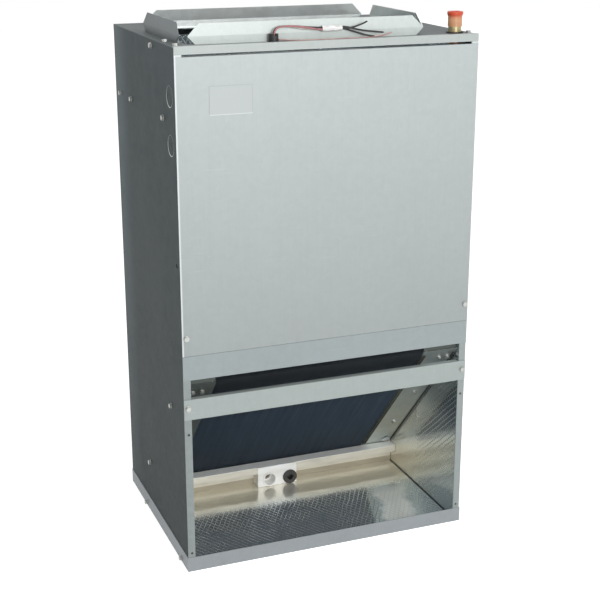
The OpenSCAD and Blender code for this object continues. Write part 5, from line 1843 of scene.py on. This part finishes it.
@dataclass
class HeaterCoils:
    """Open heater coils on ceramic holders, in place of the plain element loops.

    Attributes:
        wire: Radius of the resistance wire.
        turn: Radius of the wound coil at the wire's centreline.
        pitch: Distance between two turns.
        turn_points: Points of the wire in a turn.
        middle_x: x of the middle loop.
        spacing: Distance between two loops.
        leg: Distance between a loop's two legs.
        start_y: y of the bushings' heads, where the loops start.
        reach: Length of a leg.
        gap: Distance of the wire's start from the bushing's head.
        z: Height of the loops.
        profile: A bushing's profile: y from its head and radius.
    """

    wire: float = 0.0007
    turn: float = 0.0032
    pitch: float = 0.0034
    turn_points: int = 9
    middle_x: float = -0.0315
    spacing: float = 0.068
    leg: float = 0.036
    start_y: float = -0.126
    reach: float = 0.140
    gap: float = 0.002
    z: float = 0.8462
    profile: tuple[Pair, ...] = ((-0.0202, 0.0012), (-0.020, 0.0020), (-0.0135, 0.0020), (-0.0132, 0.0036),
                                 (-0.0065, 0.0040), (0.0, 0.0040), (0.0022, 0.0039), (0.0026, 0.0030))

    def centreline(self, middle: float) -> np.ndarray:
        """Return the loop's centreline: out along one leg, half a circle, and back along the other.

        Args:
            middle: x halfway between the two legs.

        Returns:
            Points a fraction of a millimetre apart.
        """
        half, end = self.leg / 2, self.start_y + self.reach
        out = np.linspace(self.start_y + self.gap, end, 160)
        bend = np.linspace(0.0, math.pi, 60)[1:-1]
        x = np.concatenate([np.full_like(out, middle - half), middle - half * np.cos(bend),
                            np.full_like(out, middle + half)])
        y = np.concatenate([out, end + half * np.sin(bend), out[::-1]])
        return np.stack([x, y, np.full_like(x, self.z)], axis=-1)

    def helix(self, path: np.ndarray) -> np.ndarray:
        """Wind a helix round a centreline: centre + turn radius * (cos a * first side + sin a * second side).

        The angle a grows by a full turn for each pitch of the centreline's length.

        Args:
            path: The centreline.

        Returns:
            Points of the wire's centreline.
        """
        run = Shaper.run(path)
        want = np.linspace(0.0, run[-1], int(run[-1] / self.pitch * self.turn_points))
        centre = np.stack([np.interp(want, run, path[:, k]) for k in range(3)], axis=-1)
        first, second = Shaper.frames(centre)
        angle = (2 * math.pi * want / self.pitch)[:, None]
        return centre + self.turn * (np.cos(angle) * first + np.sin(angle) * second)

    def bushing(self, x: float) -> Mesh:
        """Return a stepped ceramic bushing, a profile turned about the leg's own line along Y.

        Args:
            x: The leg's x.

        Returns:
            Vertices, faces and UV pairs.
        """
        y, radius = np.array(self.profile).T
        path = np.stack([np.full_like(y, x), self.start_y + y, np.full_like(y, self.z)], axis=-1)
        return Shaper.tube(path, radius, 20)

    def build(self) -> None:
        """Make three wound loops and six bushings."""
        middles = [self.middle_x + k * self.spacing for k in (-1, 0, 1)]
        coils = [Shaper.tube(self.helix(self.centreline(middle)), self.wire, 6) for middle in middles]
        mounts = [self.bushing(middle + side * self.leg / 2) for middle in middles for side in (-1, 1)]
        for name, shapes, finish in (("heater_wire", coils, Surface.ELEMENT),
                                     ("heater_bushings", mounts, Surface.CERAMIC)):
            piece = Shaper.piece(name, Shaper.joined(shapes), finish, "element_steel", turn_out=False)
            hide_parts("heater_elements")


# ---------------------------------------------------------------- studio


@dataclass(frozen=True)
class Lamp:
    """A soft square lamp.

    Attributes:
        name: The lamp's name.
        place: Where it hangs.
        aim: What it faces.
        size: The length of its side.
        power: Its power in watts.
    """

    name: str
    place: Point
    aim: Point
    size: float
    power: float

    def build(self) -> None:
        """Make the lamp and turn it to its aim."""
        data = bpy.data.lights.new(self.name, "AREA")
        data.shape, data.size, data.energy = "SQUARE", self.size, self.power
        lamp = in_scene(self.name, data)
        lamp.location = self.place
        lamp.rotation_euler = (Vector(self.aim) - Vector(self.place)).to_track_quat("-Z", "Y").to_euler()


@dataclass
class Studio:
    """A pale floor, a white backdrop for the camera and soft lamps.

    Attributes:
        floor_half: Half the floor's width.
        floor_z: Its height, just under the object's feet.
        world_level: Strength of the surroundings' light.
        floor_glow: What the floor adds to its own shade where the camera or a reflection sees it.
        lamps: The lamps.
    """

    floor_half: float = 9.0
    floor_z: float = -0.0004
    world_level: float = 0.50
    floor_glow: float = 0.72
    lamps: tuple[Lamp, ...] = (
        Lamp("key_lamp", (1.9, -3.4, 2.6), (0.0, 0.0, 0.45), 2.4, 13.0),
        Lamp("top_lamp", (0.3, -0.6, 3.6), (0.0, 0.0, 0.5), 2.6, 20.0),
        Lamp("low_front", (0.1, -2.95, 1.40), (0.0, 0.0, 0.12), 1.0, 38.0))

    def build(self) -> None:
        """Make the floor, the world and the lamps."""
        self.floor()
        self.world()
        for lamp in self.lamps:
            lamp.build()

    @staticmethod
    def seen(graph: Graph) -> Socket:
        """Tell the camera's own rays from the light's.

        Args:
            graph: The graph to draw in.

        Returns:
            1 for what the camera sees, directly, through glass or in a reflection, and 0 for diffuse light.
        """
        rays = graph.node("LightPath").outputs
        direct = graph.math("MAXIMUM", rays["Is Camera Ray"], rays["Is Transmission Ray"])
        return graph.math("MAXIMUM", direct, rays["Is Glossy Ray"])

    def floor(self) -> None:
        """Make the floor: pale for the lamps, and white where the camera or a reflection sees it unshaded."""
        half = self.floor_half
        corners = [(x, y, self.floor_z) for x, y in ((-half, -half), (half, -half), (half, half), (-half, half))]
        mesh = bpy.data.meshes.new("floor")
        mesh.from_pydata(corners, [], [(0, 1, 2, 3)])
        made = bpy.data.materials.new("floor_paper")
        graph = Graph.cleared(made)
        cloud = graph.noise(Finish.coordinates(graph), 3.0, 3.0)
        tone = graph.mix(cloud, (0.78, 0.78, 0.78), (0.82, 0.82, 0.82))
        paper = graph.node("BsdfPrincipled", {"Base Color": tone, "Roughness": 0.9, "Specular IOR Level": 0.1,
                                              "Emission Color": (1.0, 1.0, 1.0, 1.0),
                                              "Emission Strength": graph.times(self.seen(graph), self.floor_glow)})
        graph.node("OutputMaterial", {0: paper.outputs[0]})
        mesh.materials.append(made)
        in_scene("floor", mesh)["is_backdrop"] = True

    def world(self) -> None:
        """Make the surroundings: white to the camera and to reflections, softer as light."""
        world = bpy.data.worlds.new("surroundings")
        graph = Graph.cleared(world)
        strength = graph.span(self.seen(graph), 0.0, 1.0, self.world_level, 1.0)
        glow = graph.node("Background", {"Color": (1.0, 1.0, 1.0, 1.0), "Strength": strength})
        graph.node("OutputWorld", {0: glow.outputs[0]})
        bpy.context.scene.world = world


# ---------------------------------------------------------------- finishes of the carried-over solids


@dataclass
class Dressing:
    """The finish of every CAD node that stays as it is.

    Attributes:
        by_finish: The nodes under each finish.
    """

    by_finish: dict[Surface, tuple[str, ...]] = field(default_factory=lambda: {
        Surface.FRONT: ("service_panel",),
        Surface.TRIM: ("top_trim",),
        Surface.UPPER: ("upper_rail",),
        Surface.RAIL: ("filter_rail",),
        Surface.TRAY: ("base_tray",),
        Surface.SIDE: ("left_side_panel",),
        Surface.FAR_SIDE: ("right_side_panel", "back_panel"),
        Surface.TOP: ("top_panel",),
        Surface.COLLAR: ("front_duct_flange",),
        Surface.LIT_BACK_COLLAR: ("back_duct_flange", "right_duct_flange"),
        Surface.SHADED_FLARE: ("left_duct_flange",),
        Surface.INNER: ("blower_deck", "blower_scroll", "blower_sides", "blower_wheel", "wheel_blades",
                        "coil_end_plates", "capacitor_strap", "heater_plate", "control_box"),
        Surface.SHADED_CHANNEL: ("left_coil_channel",),
        Surface.BRACKET: ("right_coil_channel",),
        Surface.SCREW: ("casing_screws", "panel_screws", "filter_rail_screws"),
        Surface.PAN: ("drain_pan",),
        Surface.SHADED_SILL: ("pan_sill",),
        Surface.BLOCK: ("drain_block",),
        Surface.BLACK: ("drain_plug", "cable_bushing", "limit_switch", "blower_relay"),
        Surface.RUBBER: ("suction_grommet", "mount_grommets"),
        Surface.CAP: ("suction_cap",),
        Surface.COPPER: ("coil_hairpins", "return_bends", "suction_line", "liquid_line"),
        Surface.BRASS: ("metering_piston",),
        Surface.STEEL: ("wheel_hub", "motor_shaft", "motor_mount"),
        Surface.MOTOR: ("motor_shell",),
        Surface.CAN: ("run_capacitor",),
        Surface.LAMINATE: ("transformer",),
        Surface.PLATE: ("bare_plate",),
        Surface.BOARD: ("control_board",),
    })

    def build(self, nodes: dict[str, bpy.types.Object]) -> None:
        """Assign every finish.

        Args:
            nodes: The frame's nodes by name.
        """
        for finish, names in self.by_finish.items():
            for name in names:
                if name not in nodes:
                    LOG.warning("no node called %s", name)
                    continue
                mesh = nodes[name].data
                mesh.materials.clear()
                mesh.materials.append(finish.material())
                LOG.info("%s: %s", name, finish.value.name)


def write_sizes(start: tuple[Vector, Vector], end: tuple[Vector, Vector]) -> None:
    """Gather the box of the CAD model and of the dressed model; nothing is written.

    Args:
        start: Lowest and highest corners of the CAD model.
        end: Lowest and highest corners of the dressed model.
    """
    boxes = {name: [list(corner) for corner in pair] for name, pair in (("cad", start), ("scene", end))}


def main() -> None:
    """Build the camera, the leads, the finer pieces, the finishes and the studio, in that order."""
    logging.basicConfig(level=logging.INFO, format="%(name)s: %(message)s")
    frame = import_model()
    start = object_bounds()
    scene = bpy.context.scene
    scene.view_settings.view_transform = "Standard"
    Viewpoint().build()
    LeadBundle().build()
    Linings().build()
    FinPack().build()
    ChannelTrim().build()
    Knockouts().build()
    HeaterCoils().build()
    Dressing().build(frame["nodes"])
    Studio().build()
    write_sizes(start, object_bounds())


if __name__ == "__main__":
    main()
